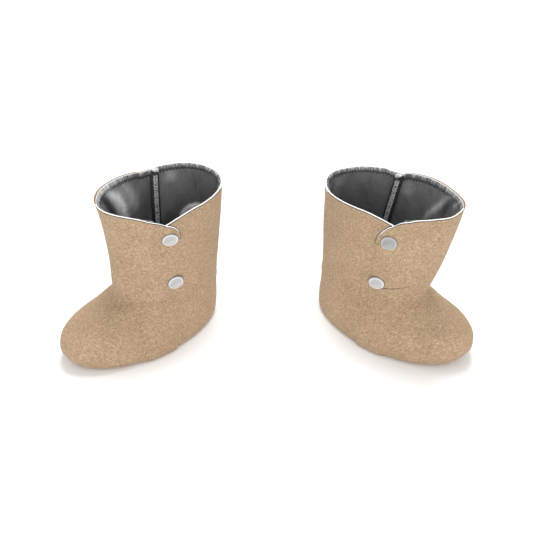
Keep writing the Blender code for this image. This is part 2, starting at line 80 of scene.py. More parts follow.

# What differs between the covers. Troughs are creases of the leather along a path of angle and
# height, with a sharp dark line of painted shade where they say so. Folds and swells are the soft
# relief of the lining, and their tone is painted light: painted sheen where it is above 0 and
# painted shade below. The hem light is painted light on the hem's toe side.
COVERS = {
    "left": {
        "side": -1,
        "heel": (-47.4, 38.2),
        "turn": 36.0,
        "lean": -4.5,
        "bow": -2.5,
        "crease": (48.0, -2.0, 92.5, 30.0, 21.5, 0.0),
        "rim": (RIM_HEIGHT, -6.5, 103.5, 30.0, 30.5, 13.0),
        "notch": {"angle": 76.0, "depth": 13.5, "toe_reach": 60.0, "heel_reach": 48.0},
        "flap": ((0.0, 56.0), (50.0, 44.0), (102.0, 43.5), (RIM_HEIGHT, 43.0)),
        "seam": ((0.0, 40.0), (60.0, 33.0), (RIM_HEIGHT, 29.5)),
        "corner_drop": 13.0,
        "corner_slope": 0.0,
        "flap_trim": 3.1,
        "rim_fall": (
            (-130.0, -1.4), (-108.0, -1.0), (-100.0, 0.3), (-92.0, 0.8), (-84.0, -0.8), (-66.0, -2.0),
            (-42.0, -1.8), (-20.0, 0.0), (0.0, 1.4), (22.0, 2.0), (40.0, 1.1), (56.0, 0.1), (68.0, -0.4),
            (76.0, 0.2), (86.0, 1.9), (104.0, 2.9), (114.0, 4.0), (124.0, 3.4), (134.0, 2.2), (150.0, 1.0),
            (170.0, -0.5), (190.0, -1.0), (212.0, -1.0), (230.0, -1.4),
        ),
        "hem_painted_light": 0.5,
        "upper_snap": (54.7, 105.2),
        "lower_snap": (50.9, 61.3),
        "facing": {"upper": (14.0, -12.0), "lower": (24.0, -7.0)},
        "troughs": (
            {"path": ((58.0, 58.0), (34.0, 62.0), (10.0, 60.0)), "depth": 0.25, "width": 2.2},
            {"path": ((62.0, 44.0), (40.0, 48.0), (16.0, 52.0)), "depth": 0.3, "width": 3.0},
            {"path": ((-14.0, 58.0), (-38.0, 61.0), (-66.0, 55.0)), "depth": 0.5, "width": 1.6},
            {"path": ((-30.0, 48.0), (-58.0, 50.0), (-80.0, 44.0)), "depth": 0.35, "width": 2.4},
            {"path": ((150.0, 40.0), (185.0, 44.0), (222.0, 38.0)), "depth": 0.4, "width": 2.6},
        ),
        "folds": (
            {"path": ((-10.0, 128.0), (-22.0, 118.0), (-30.0, 104.0)),
             "depth": 1.0, "width": 3.0, "tone": 0.5},
            {"path": ((-30.0, 130.0), (-42.0, 120.0), (-49.0, 108.0), (-50.0, 98.0)),
             "depth": -1.2, "width": 2.8, "tone": -1.0},
            {"path": ((-44.0, 130.0), (-58.0, 118.0), (-64.0, 104.0), (-66.0, 88.0)),
             "depth": 2.0, "width": 5.0, "tone": 1.0},
            {"path": ((-68.0, 130.0), (-76.0, 114.0), (-80.0, 98.0)),
             "depth": 0.9, "width": 6.0, "tone": 0.35},
            {"path": ((-96.0, 122.0), (-94.0, 104.0), (-90.0, 84.0)),
             "depth": -0.6, "width": 7.0, "tone": -0.35},
            {"path": ((243.0, 132.0), (241.0, 118.0)), "depth": 0.6, "width": 5.0, "tone": 0.2},
            {"path": ((217.0, 132.0), (216.0, 120.0), (213.0, 104.0)),
             "depth": -0.5, "width": 1.3, "tone": -0.35},
        ),
        "swells": (
            {"angle": 210.0, "height": 83.0, "across": 21.0, "along": 13.6, "depth": 1.7, "tone": 1.0},
        ),
    },
    "right": {
        "side": 1,
        "heel": (48.1, 46.2),
        "turn": 38.0,
        "lean": 11.0,
        "bow": 2.5,
        "crease": (50.0, -2.0, 94.5, 30.0, 21.5, 0.0),
        "rim": (RIM_HEIGHT, -10.0, 111.5, 26.5, 35.0, 18.0),
        "notch": {"angle": 67.0, "depth": 8.0, "toe_reach": 24.0, "heel_reach": 28.0},
        "flap": ((0.0, 54.0), (60.0, 57.5), (102.0, 63.5), (RIM_HEIGHT, 66.0)),
        "seam": ((0.0, 40.0), (60.0, 38.0), (RIM_HEIGHT, 48.0)),
        "corner_drop": 17.5,
        "corner_slope": 0.35,
        "flap_trim": 5.2,
        "rim_fall": (
            (-130.0, -0.8), (-110.0, -0.9), (-102.0, 0.7), (-96.0, 1.2), (-88.0, -1.0), (-72.0, -2.0),
            (-56.0, -0.8), (-40.0, 0.5), (0.0, 1.0), (14.0, 2.0), (32.0, 1.2), (44.0, 1.7), (52.0, 1.4),
            (60.0, 0.2), (67.0, 1.4), (84.0, 2.1), (120.0, 2.3), (140.0, 2.8), (160.0, 0.5), (180.0, -1.2),
            (198.0, -0.8), (212.0, 0.0), (230.0, -0.8),
        ),
        "hem_painted_light": 0.15,
        "upper_snap": (79.3, 106.8),
        "lower_snap": (69.1, 63.2),
        "facing": {"upper": (-12.0, -2.0), "lower": (-19.0, -9.0)},
        "troughs": (
            {"path": ((71.0, 57.2), (60.0, 59.5), (50.0, 62.4), (41.0, 63.0)),
             "depth": 0.45, "width": 0.7, "line": True},
            {"path": ((40.0, 66.0), (20.0, 62.0), (4.0, 60.5)), "depth": 0.3, "width": 2.0},
            {"path": ((60.0, 44.0), (38.0, 50.0), (16.0, 53.0)), "depth": 0.3, "width": 3.0},
            {"path": ((-12.0, 60.0), (-36.0, 63.0), (-62.0, 58.0)), "depth": 0.5, "width": 1.6},
            {"path": ((-28.0, 50.0), (-55.0, 51.0), (-78.0, 45.0)), "depth": 0.35, "width": 2.4},
            {"path": ((148.0, 42.0), (182.0, 45.0), (220.0, 40.0)), "depth": 0.4, "width": 2.6},
        ),
        "folds": (
            {"path": ((-44.0, 130.0), (-52.0, 118.0), (-64.0, 104.0), (-70.0, 92.0)),
             "depth": 1.6, "width": 3.0, "tone": 0.4},
            {"path": ((-40.0, 126.0), (-46.0, 116.0), (-52.0, 104.0)),
             "depth": -0.8, "width": 3.0, "tone": -0.4},
            {"path": ((-28.0, 130.0), (-36.0, 120.0)), "depth": 1.0, "width": 2.4, "tone": 0.35},
            {"path": ((-84.0, 126.0), (-92.0, 112.0)), "depth": 0.5, "width": 6.0, "tone": 0.12},
            {"path": ((196.0, 128.0), (194.0, 112.0), (196.0, 96.0)),
             "depth": 0.5, "width": 4.0, "tone": 0.15},
            {"path": ((170.0, 128.0), (172.0, 112.0)), "depth": 0.8, "width": 2.0, "tone": 0.3},
        ),
        "swells": (),
    },
}

# The rim stands a little higher at the outer heel quarter
CROWN_ANGLE = 225.0
CROWN_HEIGHT = 3.0
CROWN_SHARPNESS = 4

# Cut lines
OVERLAP = 23.0
LIFT_START = 14.0
LIFT_END = 2.0
TUCK_FALL = 0.5
LOW_ROWS_END = 97.0
RIM_TRIES = 6
PATH_STEPS = 28
CLOSURE_ANGLE = 90.0

# How fine the shells are, and how their edges are rounded
STEP = 1.5
STEP_ANGLE = 1.9
BOTTOM_HEIGHTS = (0.0, 0.35, 0.9, 1.7)
BOTTOM_ROLL = (0.7, 0.3, 0.08, 0.0)
CORNER_TURNS = (30.0, 60.0, 90.0)
ROLL_MOST = 0.8
CURL_MOST = 0.7
SKIN = 0.42
# Height of the dark row under the rim: burnished skin darkened as painted shade
DARK_BAND = 0.4

# The flap's rounded corner: its bevel, a dark tube of painted shadow in the gap beside it, pale core,
# and the nick at its end, another dark tube of painted shadow
CORNER_BEVEL = 0.9
CORNER_ONSET = 6.0
CORNER_END_COLUMNS = 3
CORNER_START = 4.0
CORNER_STEPS = 40
GAP_BEYOND = 0.25
GAP_DEPTH = 0.75 * OUTER_WALL
GAP_RADIUS = 0.46
CORE_DEPTH = 0.45
CORE_WITHIN = 0.12
CORE_RADIUS = 0.42
CORE_END = 0.85
NICK_LENGTH = 3.2
NICK_RADIUS = 0.2

# Sharp dark line at the bottom of a crease: a thin tube of painted shade
CREASE_RADIUS = 0.17
CREASE_RISE = 0.36
CREASE_STEPS = 30
LINE_SIDES = 8

# The far rim: how it flares and rounds, by angle and height
FAR_RIM = -8.0
FAR_ONSET = 18.0
FAR_START = 4.0
FAR_BEVEL = 1.9
FAR_FLARE = 0.8
FLARE_HEIGHT = 10.0
# Reach of the painted shade on the far rim's skin: below this angle, and where the flare passes this share
FAR_SHADE_END = 10.0
FAR_SHADE_ONSET = 0.02

# Places of a leather panel's materials
# Burnished skin, made near black as painted shade
BURNISH_AND_SHADE = 1
CORE = 2
# Darker copy of the nubuck on the far rim, painted shade
FAR_SHADE = 3

# Roll of the leather at the outer seam
SEAM_CLEARANCE = 0.05
SEAM_ROLL_SHIFTS = (0.0, 0.25, 0.6, 1.1, 1.8)
SEAM_ROLL_DEPTHS = (0.9, 0.5, 0.2, 0.05, 0.0)

# The flap's free edge: its fine columns, and how it is skived low down
EDGE_SHIFTS = (9.0, 7.5, 6.0, 4.5, 3.0, 2.0, 1.2, 0.6, 0.25, 0.0)
SKIVE_WIDTH = 9.0
SKIVED_EDGE = 0.35
SKIVE_FALL = 9.0
SKIVE_LOW = 4.0
SKIVE_LOW_RUN = 8.0
SKIVED_GAP = 0.12

# Hem
HEM_DEPTH = 3.9
HEM_FACE = LINING_FACE - 0.3
HEM_WALL = 0.9
HEM_TOP_GAP = 1.1
FAR_HEM_RISE = 0.55
FAR_HEM_START = 100.0
FAR_HEM_ONSET = 30.0
PUCKER_DEPTH = 0.8
PUCKER_PITCH = 2.5
PUCKER_STEPS = 8
PUCKER_LEAN = 0.45
CREST_RISE = 0.25
HEM_END_MARGIN = 3.4
HEM_ROWS = 12
HEM_JOIN = 0.08
HEM_TOP_ROLL = 2.8
HEM_TOP_THIN = 0.15
HEM_TOP_ROUND = 0.3
HEM_FOOT_ROUND = 0.25
EDGE_SPLIT = 0.02
# Painted light on the hem's toe side: where it is centred and how far it reaches
HEM_PAINTED_LIGHT_ANGLE = -38.0
HEM_PAINTED_LIGHT_REACH = 26.0
RIM_SAMPLES = 400

# Lining: the soft edge of its swells, as a share of their size, its ripples, and its ends
SWELL_EDGE = 0.16
RIPPLE_DEPTH = 0.16
LINING_FOOT = 4.0
LINING_PINCH = 0.1
PINCH_REACH = 1.2

# Stitches under the hem
STITCH_PITCH = 2.9
STITCH_LENGTH = 1.5
STITCH_RADIUS = 0.44
STITCH_DROP = 5.15
STITCH_BACK = 0.1
STITCH_BOW = 0.35
STITCH_TAPER = (0.45, 0.9, 1.0, 1.0, 0.9, 0.45)

# Overcast seam inside
ALLOWANCE_HALF = 4.0
ALLOWANCE_LEAN = 2.8
ALLOWANCE_WALL = 2.0
ALLOWANCE_FOOT = 6.0
ALLOWANCE_HEAD = 131.0
RIDGE_GAP = 0.1
RIDGE_FOOT_GAP = 0.05
RIDGE_CREST = 2.5
THREAD_END = 1.0
THREAD_PITCH = 3.2
THREAD_HALF = 1.9
THREAD_RADIUS = 0.28
THREAD_SIDES = 5
CHAIN_ACROSS = (-1.45, 1.45)
CHAIN_STEP = 0.45
TAB_ACROSS = (-3.2, 2.6)
TAB_FOOT = 3.4
TAB_LENGTH = 3.2
TACK_ACROSS = (-2.6, 3.6)
TACK_FOOT = 4.7
TACK_OUT = 1.5
TACK_RADIUS = 0.45
TACK_STEPS = 14
TACK_STITCHES = 6

# Sole
SOLE_WALL = 1.6
SOLE_INSET = 0.6
SOLE_EDGE = ((0.5, 0.0), (0.1, 0.25), (0.0, 0.6), (0.35, 1.1), (1.0, 1.45), (2.2, SOLE_WALL))
SOLE_RINGS = 12
SOLE_SPREAD = 0.97
SOLE_STEP_ANGLE = 2.0

# Snaps
CAP_PROFILE = (
    (5.9, -0.25), (6.36, -0.1), (6.4, 0.12), (6.3, 0.42), (6.05, 0.75), (5.65, 1.0), (5.1, 1.1),
    (4.75, 1.06), (4.45, 1.0), (3.6, 1.08), (2.4, 1.15), (1.2, 1.19), (0.0, 1.2),
)
# Dark ring under the cap: the socket's rim, near black as painted shadow
RIM_AND_SHADOW_PROFILE = ((5.8, -0.35), (6.5, -0.3), (6.62, -0.15), (6.5, 0.0), (5.8, 0.02))
CAP_SEAT = 0.35
# Cap that gets a darker copy of the plastic, painted shade
SHADED_CAP = ("right", "upper")
SEAT_FLAT = 9.0
SEAT_REACH = 1.9
STUD_PROFILE = (
    (0.0, -0.6), (5.2, -0.6), (5.5, -0.3), (5.5, 0.3), (5.2, 0.6), (3.4, 0.6), (3.1, 0.5), (2.9, 0.6),
    (2.5, 0.6), (2.2, -0.1), (0.0, -0.1),
)
STUD_WALL = 1.2
STUD_SEAT = 0.6
TURNED_STEPS = 64

# Nap of the leather: how far its streaks turn from level, and how long they are for their width
NAP_TURN = math.radians(45.0)
NAP_LENGTH = 2.4

# Way across a cap, in its own frame, in which a painted reflection makes its plastic lighter
CAP_REFLECTION_WAY = (0.5, -0.85, 0.0)

# Camera, in metres
CAMERA_TARGET = (-0.0004, 0.0052, 0.062)
CAMERA_ELEVATION = 38.0
CAMERA_DISTANCE = 1.0
CAMERA_FOCAL = 84.0
SENSOR = 36.0


def slopes(at, values):
    """Slopes of a smooth curve through the values that doesn't overshoot between them."""
    steps = np.diff(at)
    rises = np.diff(values) / steps
    out = np.zeros(len(values))
    out[0] = rises[0]
    out[-1] = rises[-1]
    for k in range(1, len(values) - 1):
        if rises[k - 1] * rises[k] > 0:
            before = 2 * steps[k] + steps[k - 1]
            after = steps[k] + 2 * steps[k - 1]
            out[k] = (before + after) / (before / rises[k - 1] + after / rises[k])
    return out


def smooth_curve(at, values, where):
    """Values of the smooth curve through a column at other heights."""
    tangents = slopes(at, values)
    where = np.clip(where, at[0], at[-1])
    k = np.clip(np.searchsorted(at, where) - 1, 0, len(at) - 2)
    span = at[k + 1] - at[k]
    t = (where - at[k]) / span
    start = (2 * t**3 - 3 * t**2 + 1) * values[k] + (t**3 - 2 * t**2 + t) * span * tangents[k]
    end = (3 * t**2 - 2 * t**3) * values[k + 1] + (t**3 - t**2) * span * tangents[k + 1]
    return start + end


def ease(value):
    """Smooth step from 0 to 1."""
    value = np.clip(value, 0.0, 1.0)
    return value * value * (3.0 - 2.0 * value)


def bell(value):
    """Smooth bump of height 1 round 0."""
    return np.exp(-value**2)


def front_direction(azimuth, elevation):
    """Direction in the shared frame of one that faces the front, turned and raised by angles."""
    turn = math.radians(azimuth)
    rise = math.radians(elevation)
    flat = math.cos(rise)
    return np.array([flat * math.sin(turn), -flat * math.cos(turn), math.sin(rise)])


def angle_gap(angles, centre):
    """Signed gap between angles, the short way round."""
    return (angles - centre + 180.0) % 360.0 - 180.0


class Cover:
    """The shape of one cover and where it stands."""

    def __init__(self, sizes):
        self.sizes = sizes
        turn = math.radians(sizes["turn"])
        self.heel = np.array([*sizes["heel"], 0.0])
        self.toe = np.array([sizes["side"] * math.cos(turn), -math.sin(turn), 0.0])
        self.inner = np.array([-sizes["side"] * math.sin(turn), -math.cos(turn), 0.0])
        low = np.array(sizes["crease"])
        high = np.array(sizes["rim"])
        bow_column = SECTION_COLUMNS.index("front_x")
        rows = [np.array(row) for row in FOOT_SECTIONS]
        rows.append(low)
        for share in SHAFT_SHARES:
            row = low + (high - low) * share
            row[bow_column] += 4.0 * sizes["bow"] * share * (1.0 - share)
            rows.append(row)
        table = np.array(rows)
        for name in ("back_x", "front_x"):
            table[:, SECTION_COLUMNS.index(name)] += sizes["lean"] * table[:, 0] / RIM_HEIGHT
        self.sections = dict(zip(SECTION_COLUMNS, table.T))
        self.seats = [self.snap_seat(place) for place in ("upper", "lower")]

    def section(self, height):
        """Sizes of the wall's section at a height, and where its two round ends are centred."""
        at = self.sections["height"]
        column = {name: smooth_curve(at, values, height) for name, values in self.sections.items()}
        column["heel_centre"] = column["back_x"] + column["back_half"]
        column["toe_centre"] = column["front_x"] - column["front_half"]
        return column

    def base(self, angle, height):
        """Point on the outer face of the plain wall."""
        turn = np.radians(angle)
        column = self.section(height)
        to_toe = 0.5 * (1.0 + np.cos(turn))
        half = column["back_half"] + (column["front_half"] - column["back_half"]) * to_toe
        centre = column["heel_centre"] + (column["toe_centre"] - column["heel_centre"]) * to_toe
        x = centre + half * np.cos(turn)
        y = half * np.sin(turn)
        along = (x - column["back_x"]) / (column["front_x"] - column["back_x"])
        z = height + column["tilt"] * (along - 0.5)
        return np.stack([x, y, z], axis=-1)

    def normal(self, angle, height):
        """Outward direction of the plain wall."""
        angle_step = 0.5
        height_step = 0.2
        top = self.sections["height"][-1]
        round_leg = self.base(angle + angle_step, height) - self.base(angle - angle_step, height)
        upper = np.minimum(height + height_step, top)
        lower = np.maximum(height - height_step, 0.0)
        up_leg = self.base(angle, upper) - self.base(angle, lower)
        out = np.cross(round_leg, up_leg)
        return out / np.linalg.norm(out, axis=-1, keepdims=True)

    def foot_direction(self, way):
        """A direction of the shared frame in the foot's own frame."""
        return np.array([way @ self.toe, way @ self.inner, way[2]])

    def snap_seat(self, place):
        """Centre of a snap on the wall, and the slope that it gives the leather round it."""
        x, height = self.sizes[f"{place}_snap"]
        height = np.array([height])
        angle = self.angle_at(x, height)
        wall = self.normal(angle, height)[0]
        faces = self.foot_direction(front_direction(*self.sizes["facing"][place]))
        return self.base(angle, height)[0], faces / (faces @ wall) - wall

    def along_path(self, crease, spot):
        """Distance of points from a crease's path, in widths, and how the crease fades at its ends."""
        angles, heights = zip(*crease["path"])
        knots = np.arange(len(angles))
        fine = np.linspace(0.0, len(angles) - 1.0, PATH_STEPS)
        path = self.base(np.interp(fine, knots, angles), np.interp(fine, knots, heights))
        away = np.linalg.norm(spot[..., None, :] - path, axis=-1)
        nearest = away.argmin(axis=-1)
        fade = np.sin(np.pi * nearest / (PATH_STEPS - 1.0)) ** 0.6
        return away.min(axis=-1) / crease["width"], fade

    def relief(self, angle, height, spot):
        """Slow unevenness and creases of the wall, which every layer of cloth follows."""
        turn = np.radians(angle)
        low = ease((height - 6.0) / 20.0)
        wander = np.sin(3.0 * turn + 0.061 * height + self.sizes["side"])
        wander += 0.7 * np.sin(5.0 * turn - 0.093 * height + 2.0)
        wander += 0.5 * np.sin(8.0 * turn + 0.14 * height + 4.0 * self.sizes["side"])
        out = 0.16 * wander * low
        for trough in self.sizes["troughs"]:
            near, fade = self.along_path(trough, spot)
            ridge = 0.35 * bell((near - 2.0) / 0.9)
            out -= trough["depth"] * fade * (bell(near) - ridge)
        for centre, slope in self.seats:
            from_snap = spot - centre
            window = ease(SEAT_REACH - np.linalg.norm(from_snap, axis=-1) / SEAT_FLAT)
            out -= (from_snap @ slope) * window
        return out

    def point(self, angle, height, offset):
        """Point at an offset from the wall, never below the ground."""
        angle, height, offset = np.broadcast_arrays(angle, height, offset)
        spot = self.base(angle, height)
        lifted = offset + self.relief(angle, height, spot)
        out = spot + self.normal(angle, height) * lifted[..., None]
        out[..., 2] = np.maximum(out[..., 2], 0.0)
        return out

    def stand(self, points):
        """Foot frame to the shared frame, in metres."""
        points = np.asarray(points)
        up = np.array([0.0, 0.0, 1.0])
        placed = self.heel + points[..., :1] * self.toe + points[..., 1:2] * self.inner + points[..., 2:] * up
        return placed * MM

    def crown(self, angle):
        """Height of the rim before the notch is cut."""
        facing = np.maximum(np.cos(np.radians(angle - CROWN_ANGLE)), 0.0)
        angles, falls = (np.array(column) for column in zip(*self.sizes["rim_fall"]))
        fall = smooth_curve(angles, falls, (angle - angles[0]) % 360.0 + angles[0])
        return RIM_HEIGHT + CROWN_HEIGHT * facing**CROWN_SHARPNESS - fall

    def notched(self, angle):
        """Height of the rim with its notch at the closure."""
        notch = self.sizes["notch"]
        away = angle - notch["angle"]
        reach = np.where(away < 0.0, notch["toe_reach"], notch["heel_reach"])
        left = np.clip(1.0 - np.abs(away) / reach, 0.0, 1.0)
        return self.crown(angle) - notch["depth"] * left**2

    def angle_at(self, x, height, outer_side=False):
        """Angle of the wall's point at an x, on the closure's side or on the outer side."""
        column = self.section(height)
        square = 0.5 * (column["front_half"] - column["back_half"])
        linear = 0.5 * (column["toe_centre"] - column["heel_centre"]) + column["back_half"] + square
        constant = 0.5 * (column["toe_centre"] + column["heel_centre"]) - x
        root = np.sqrt(linear**2 - 4.0 * square * constant)
        angle = np.degrees(np.arccos(np.clip(-2.0 * constant / (linear + root), -1.0, 1.0)))
        return 360.0 - angle if outer_side else angle

    def line(self, name, height, shift=0.0, outer_side=False):
        """Angle of a cut line at a height, moved towards the toe by the shift."""
        heights, places = zip(*self.sizes[name])
        x = smooth_curve(np.array(heights), np.array(places), height)
        return self.angle_at(x + shift, height, outer_side)

    def flap_edge(self, height, shift=0.0):
        """Angle of the flap's free edge."""
        return self.line("flap", height, shift + self.sizes["flap_trim"])

    def tuck(self, height, shift=0.0):
        """Angle of the edge of the back that lies under the flap."""
        return self.line("flap", height, OVERLAP + shift)

    def seam(self, height, shift=0.0):
        """Angle of the outer seam."""
        return self.line("seam", height, shift, outer_side=True)

    def corner_foot(self):
        """Height at which the flap's rounded corner ends."""
        return self.notched(self.sizes["notch"]["angle"]) - self.sizes["corner_drop"]

    def corner_end(self):
        """Angle at which the flap's rounded corner ends."""
        return self.flap_edge(self.corner_foot())

    def front_top(self, angle):
        """Top edge of the front: the rim, then the flap's rounded corner."""
        notch = self.sizes["notch"]["angle"]
        past = np.clip((angle - notch) / (self.corner_end() - notch), 0.0, 1.0)
        slope = self.sizes["corner_slope"]
        corner = self.sizes["corner_drop"] * (slope * past + (1.0 - slope) * (1.0 - np.sqrt(1.0 - past**2)))
        return np.where(angle < notch, self.notched(angle), self.notched(notch) - corner)

    def back_top(self, angle):
        """Top edge of the back: the rim, then a slow fall under the flap."""
        notch = self.sizes["notch"]["angle"]
        fall = self.notched(notch) - TUCK_FALL * (notch - angle)
        return np.where(angle < notch, fall, self.notched(angle))

    def lift(self, angle, height):
        """How far the front stands out to pass over the back."""
        start = self.tuck(height, LIFT_START)
        end = self.tuck(height, LIFT_END)
        return FLAP_LIFT * ease((angle - start) / (end - start))


def between(start, end, shares):
    """Angles at shares of the way from one line to another, a row for each height."""
    start = np.atleast_1d(start)[:, None]
    end = np.atleast_1d(end)[:, None]
    return start + (end - start) * np.asarray(shares)


def even_shares(start, end, ends=True):
    """Shares for fine columns from one angle to another, with or without the two ends."""
    shares = np.linspace(0.0, 1.0, round(abs(float(end - start)) / STEP_ANGLE) + 1)
    return shares if ends else shares[1:-1]


def settle(cover, columns, low, top, below):
    """Angles and heights of a fine grid whose top row runs a little below a rim."""
    angles = columns(cover, np.array([RIM_HEIGHT]))[0]
    lower = np.arange(low, LOW_ROWS_END, STEP)
    count = round((RIM_HEIGHT - LOW_ROWS_END) / STEP)
    shares = np.arange(1, count + 1)[:, None] / count
    for _ in range(RIM_TRIES):
        rim = top(angles) - below
        heights = np.vstack([np.repeat(lower[:, None], len(angles), axis=1),
                             lower[-1] + (rim - lower[-1]) * shares])
        angles = np.diagonal(columns(cover, heights[-1]))
    grid = np.array([np.diagonal(columns(cover, row)) for row in heights])
    return grid, heights


def new_mesh(name, points, faces, materials, zones=None, tone=None, outward=True):
    """A smooth mesh object from points in metres, with a material index a face."""
    mesh = bpy.data.meshes.new(name)
    mesh.from_pydata(np.asarray(points).reshape(-1, 3).tolist(), [], faces)
    for material in materials:
        mesh.materials.append(material)
    if zones is not None:
        mesh.polygons.foreach_set("material_index", np.asarray(zones, dtype=np.int32))
    # The tone attribute is painted light: the satin grows lighter or darker by it
    if tone is not None:
        layer = mesh.attributes.new("tone", "FLOAT", "POINT")
        layer.data.foreach_set("value", tone.reshape(-1).astype(np.float32))
    if outward:
        shape = bmesh.new()
        shape.from_mesh(mesh)
        bmesh.ops.recalc_face_normals(shape, faces=shape.faces[:])
        shape.to_mesh(mesh)
        shape.free()
    mesh.shade_smooth()
    obj = bpy.data.objects.new(name, mesh)
    bpy.context.scene.collection.objects.link(obj)
    return obj


def dress(obj, slot, *nodes):
    """Put a piece on the root body, in place of the solids that it stands for. Its slot is not used."""
    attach(obj, "root")
    if nodes:
        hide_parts(*nodes)
    return obj


def stacked_rings(count, sides):
    """Faces of a closed skin over a stack of rings, with one face at each end."""
    grid = np.arange(count * sides).reshape(count, sides)
    after = np.roll(grid, -1, axis=1)
    faces = np.stack([grid[:-1], after[:-1], after[1:], grid[1:]], axis=-1).reshape(-1, 4).tolist()
    return [*faces, grid[0][::-1].tolist(), grid[-1].tolist()]


def ring_faces(rows, columns):
    """Faces of a wall whose rows run right round its section, with its two ends closed."""
    grid = np.arange(rows * columns).reshape(rows, columns)
    after = np.roll(grid, -1, axis=0)
    sides = np.stack([grid[:, :-1], grid[:, 1:], after[:, 1:], after[:, :-1]], axis=-1).reshape(-1, 4)
    half = rows // 2
    caps = []
    for j in (0, columns - 1):
        for i in range(half - 1):
            caps.append((grid[i, j], grid[i + 1, j], grid[rows - 2 - i, j], grid[rows - 1 - i, j]))
    return np.vstack([sides, np.array(caps)])


def wall(name, cover, outer, inner, materials, slot, nodes=(), zones=None, tone=None):
    """A closed wall between an outer and an inner half section, each given as rows of columns."""
    points = cover.stand(np.concatenate([outer, inner[::-1]]))
    faces = ring_faces(*points.shape[:2])
    face_zones = np.zeros(len(faces), dtype=int)
    if zones is not None:
        face_zones[:zones.size] = zones.reshape(-1)
    if tone is not None:
        tone = np.concatenate([tone, tone[::-1]])
    return dress(new_mesh(name, points, faces.tolist(), materials, face_zones, tone), slot, *nodes)


def leather_wall(side, part, cover, columns, top, lift, thin, away, looks):
    """A nubuck panel: rolled at the ground, with a pale core on its cut edge, a dark burnished row under the
    rim darkened further as painted shade, and on the front a darker copy of the nubuck on the far rim as
    painted shade.

    Away is 1 for the panel on the toe's side of the outer seam and -1 for the other one.
    """
    corner = part == "front"
    notch = cover.sizes["notch"]["angle"]
    angles, heights = settle(cover, columns, BOTTOM_HEIGHTS[-1] + STEP, top, SKIN)
    low_heights = np.repeat(np.array(BOTTOM_HEIGHTS)[:, None], angles.shape[1], axis=1)
    low_angles = np.array([np.diagonal(columns(cover, row)) for row in low_heights])
    band = heights[-1:] - DARK_BAND
    angles = np.vstack([low_angles, angles[:-1], angles[-1:], angles[-1:]])
    heights = np.vstack([low_heights, heights[:-1], band, heights[-1:]])
    thickness = thin(angles, heights)
    ground = np.zeros_like(heights)
    ground[:len(BOTTOM_ROLL)] = np.array(BOTTOM_ROLL)[:, None]
    back = lift(angles, heights) - OUTER_WALL
    rolled = np.minimum(seam_roll(cover, angles, heights, away), ROLL_MOST * thickness)
    face = back + thickness - ground - rolled
    rim_angles = angles[-1]
    rim = top(rim_angles)
    curl_size = np.full_like(rim_angles, SKIN)
    if corner:
        far = ease((FAR_RIM - angles) / FAR_ONSET) * ease((angles - angles[:, :1] - FAR_START) / FAR_ONSET)
        flare = FAR_FLARE * far * ease(1.0 - (rim - heights) / FLARE_HEIGHT)
        face += flare
        thickness = thickness + flare
        curl_size += (CORNER_BEVEL - SKIN) * ease((rim_angles - notch) / CORNER_ONSET)
        curl_size += (FAR_BEVEL - SKIN) * far[-1]
    outer = [cover.point(angles, heights, face)]
    inner = [cover.point(angles, heights, back)]
    most = CURL_MOST * thickness[-1]
    for turn in np.radians(CORNER_TURNS):
        level = rim - SKIN + SKIN * math.sin(turn)
        curl = 1.0 - math.cos(turn)
        outer.append(cover.point(rim_angles, level, face[-1] - np.minimum(curl * curl_size, most))[None])
        inner.append(cover.point(rim_angles, level, back[-1] + np.minimum(curl * SKIN, most))[None])
    outer = np.concatenate(outer)
    inner = np.concatenate(inner)

    # A dark row under the rim, burnished skin darkened further as painted shade; the pale core over it;
    # and, on the front, a darker copy of the nubuck on the far rim as painted shade
    half = len(outer)
    plain = len(angles)
    zones = np.zeros((2 * half, len(rim_angles) - 1), dtype=int)
    zones[plain - 2:plain + 1] = BURNISH_AND_SHADE
    zones[plain + 1:half + 5] = CORE
    if corner:
        zones[plain:half - 1, rim_angles[1:] > notch] = CORE
        zones[:, -CORNER_END_COLUMNS:] = 0
        # A darker copy of the nubuck on the far rim, painted shade
        zones[plain - 2:half - 1, rim_angles[1:] < FAR_SHADE_END] = FAR_SHADE
        zones[half - 1:half + 1, far[-1, 1:] > FAR_SHADE_ONSET] = FAR_SHADE
    else:
        zones[plain - 2:half + 2, rim_angles[1:] > 180.0 - cover.sizes["turn"]] = CORE
    return wall(f"{side}_{part}_nubuck", cover, outer, inner, looks["panel"], "tan_nubuck",
                [f"{side}_{part}"], zones)


def seam_roll(cover, angles, heights, away):
    """How far the leather rolls in at the outer seam, on one side of it."""
    seam = cover.seam(heights)
    other = cover.seam(heights, away)
    per_mm = (other - seam) / away
    gap = np.abs(angle_gap(angles, seam) / per_mm)
    return np.interp(gap, SEAM_ROLL_SHIFTS, SEAM_ROLL_DEPTHS)


def front_columns(cover, heights):
    """Columns of the front, from the outer seam to the flap's free edge."""
    seam = [cover.seam(heights, SEAM_CLEARANCE + shift) - 360.0 for shift in SEAM_ROLL_SHIFTS]
    first = seam[-1]
    last = cover.flap_edge(heights, EDGE_SHIFTS[0])
    shares = even_shares(cover.seam(RIM_HEIGHT) - 360.0, cover.flap_edge(RIM_HEIGHT), ends=False)
    edge = [cover.flap_edge(heights, shift) for shift in EDGE_SHIFTS]
    return np.hstack([np.stack(seam, axis=-1), between(first, last, shares), np.stack(edge, axis=-1)])


def back_columns(cover, heights):
    """Columns of the back, from its edge under the flap to the outer seam."""
    seam = [cover.seam(heights, -SEAM_CLEARANCE - shift) for shift in reversed(SEAM_ROLL_SHIFTS)]
    shares = even_shares(cover.tuck(RIM_HEIGHT), cover.seam(RIM_HEIGHT), ends=False)
    start = cover.tuck(heights)
    return np.hstack([start[:, None], between(start, seam[0], shares), np.stack(seam, axis=-1)])


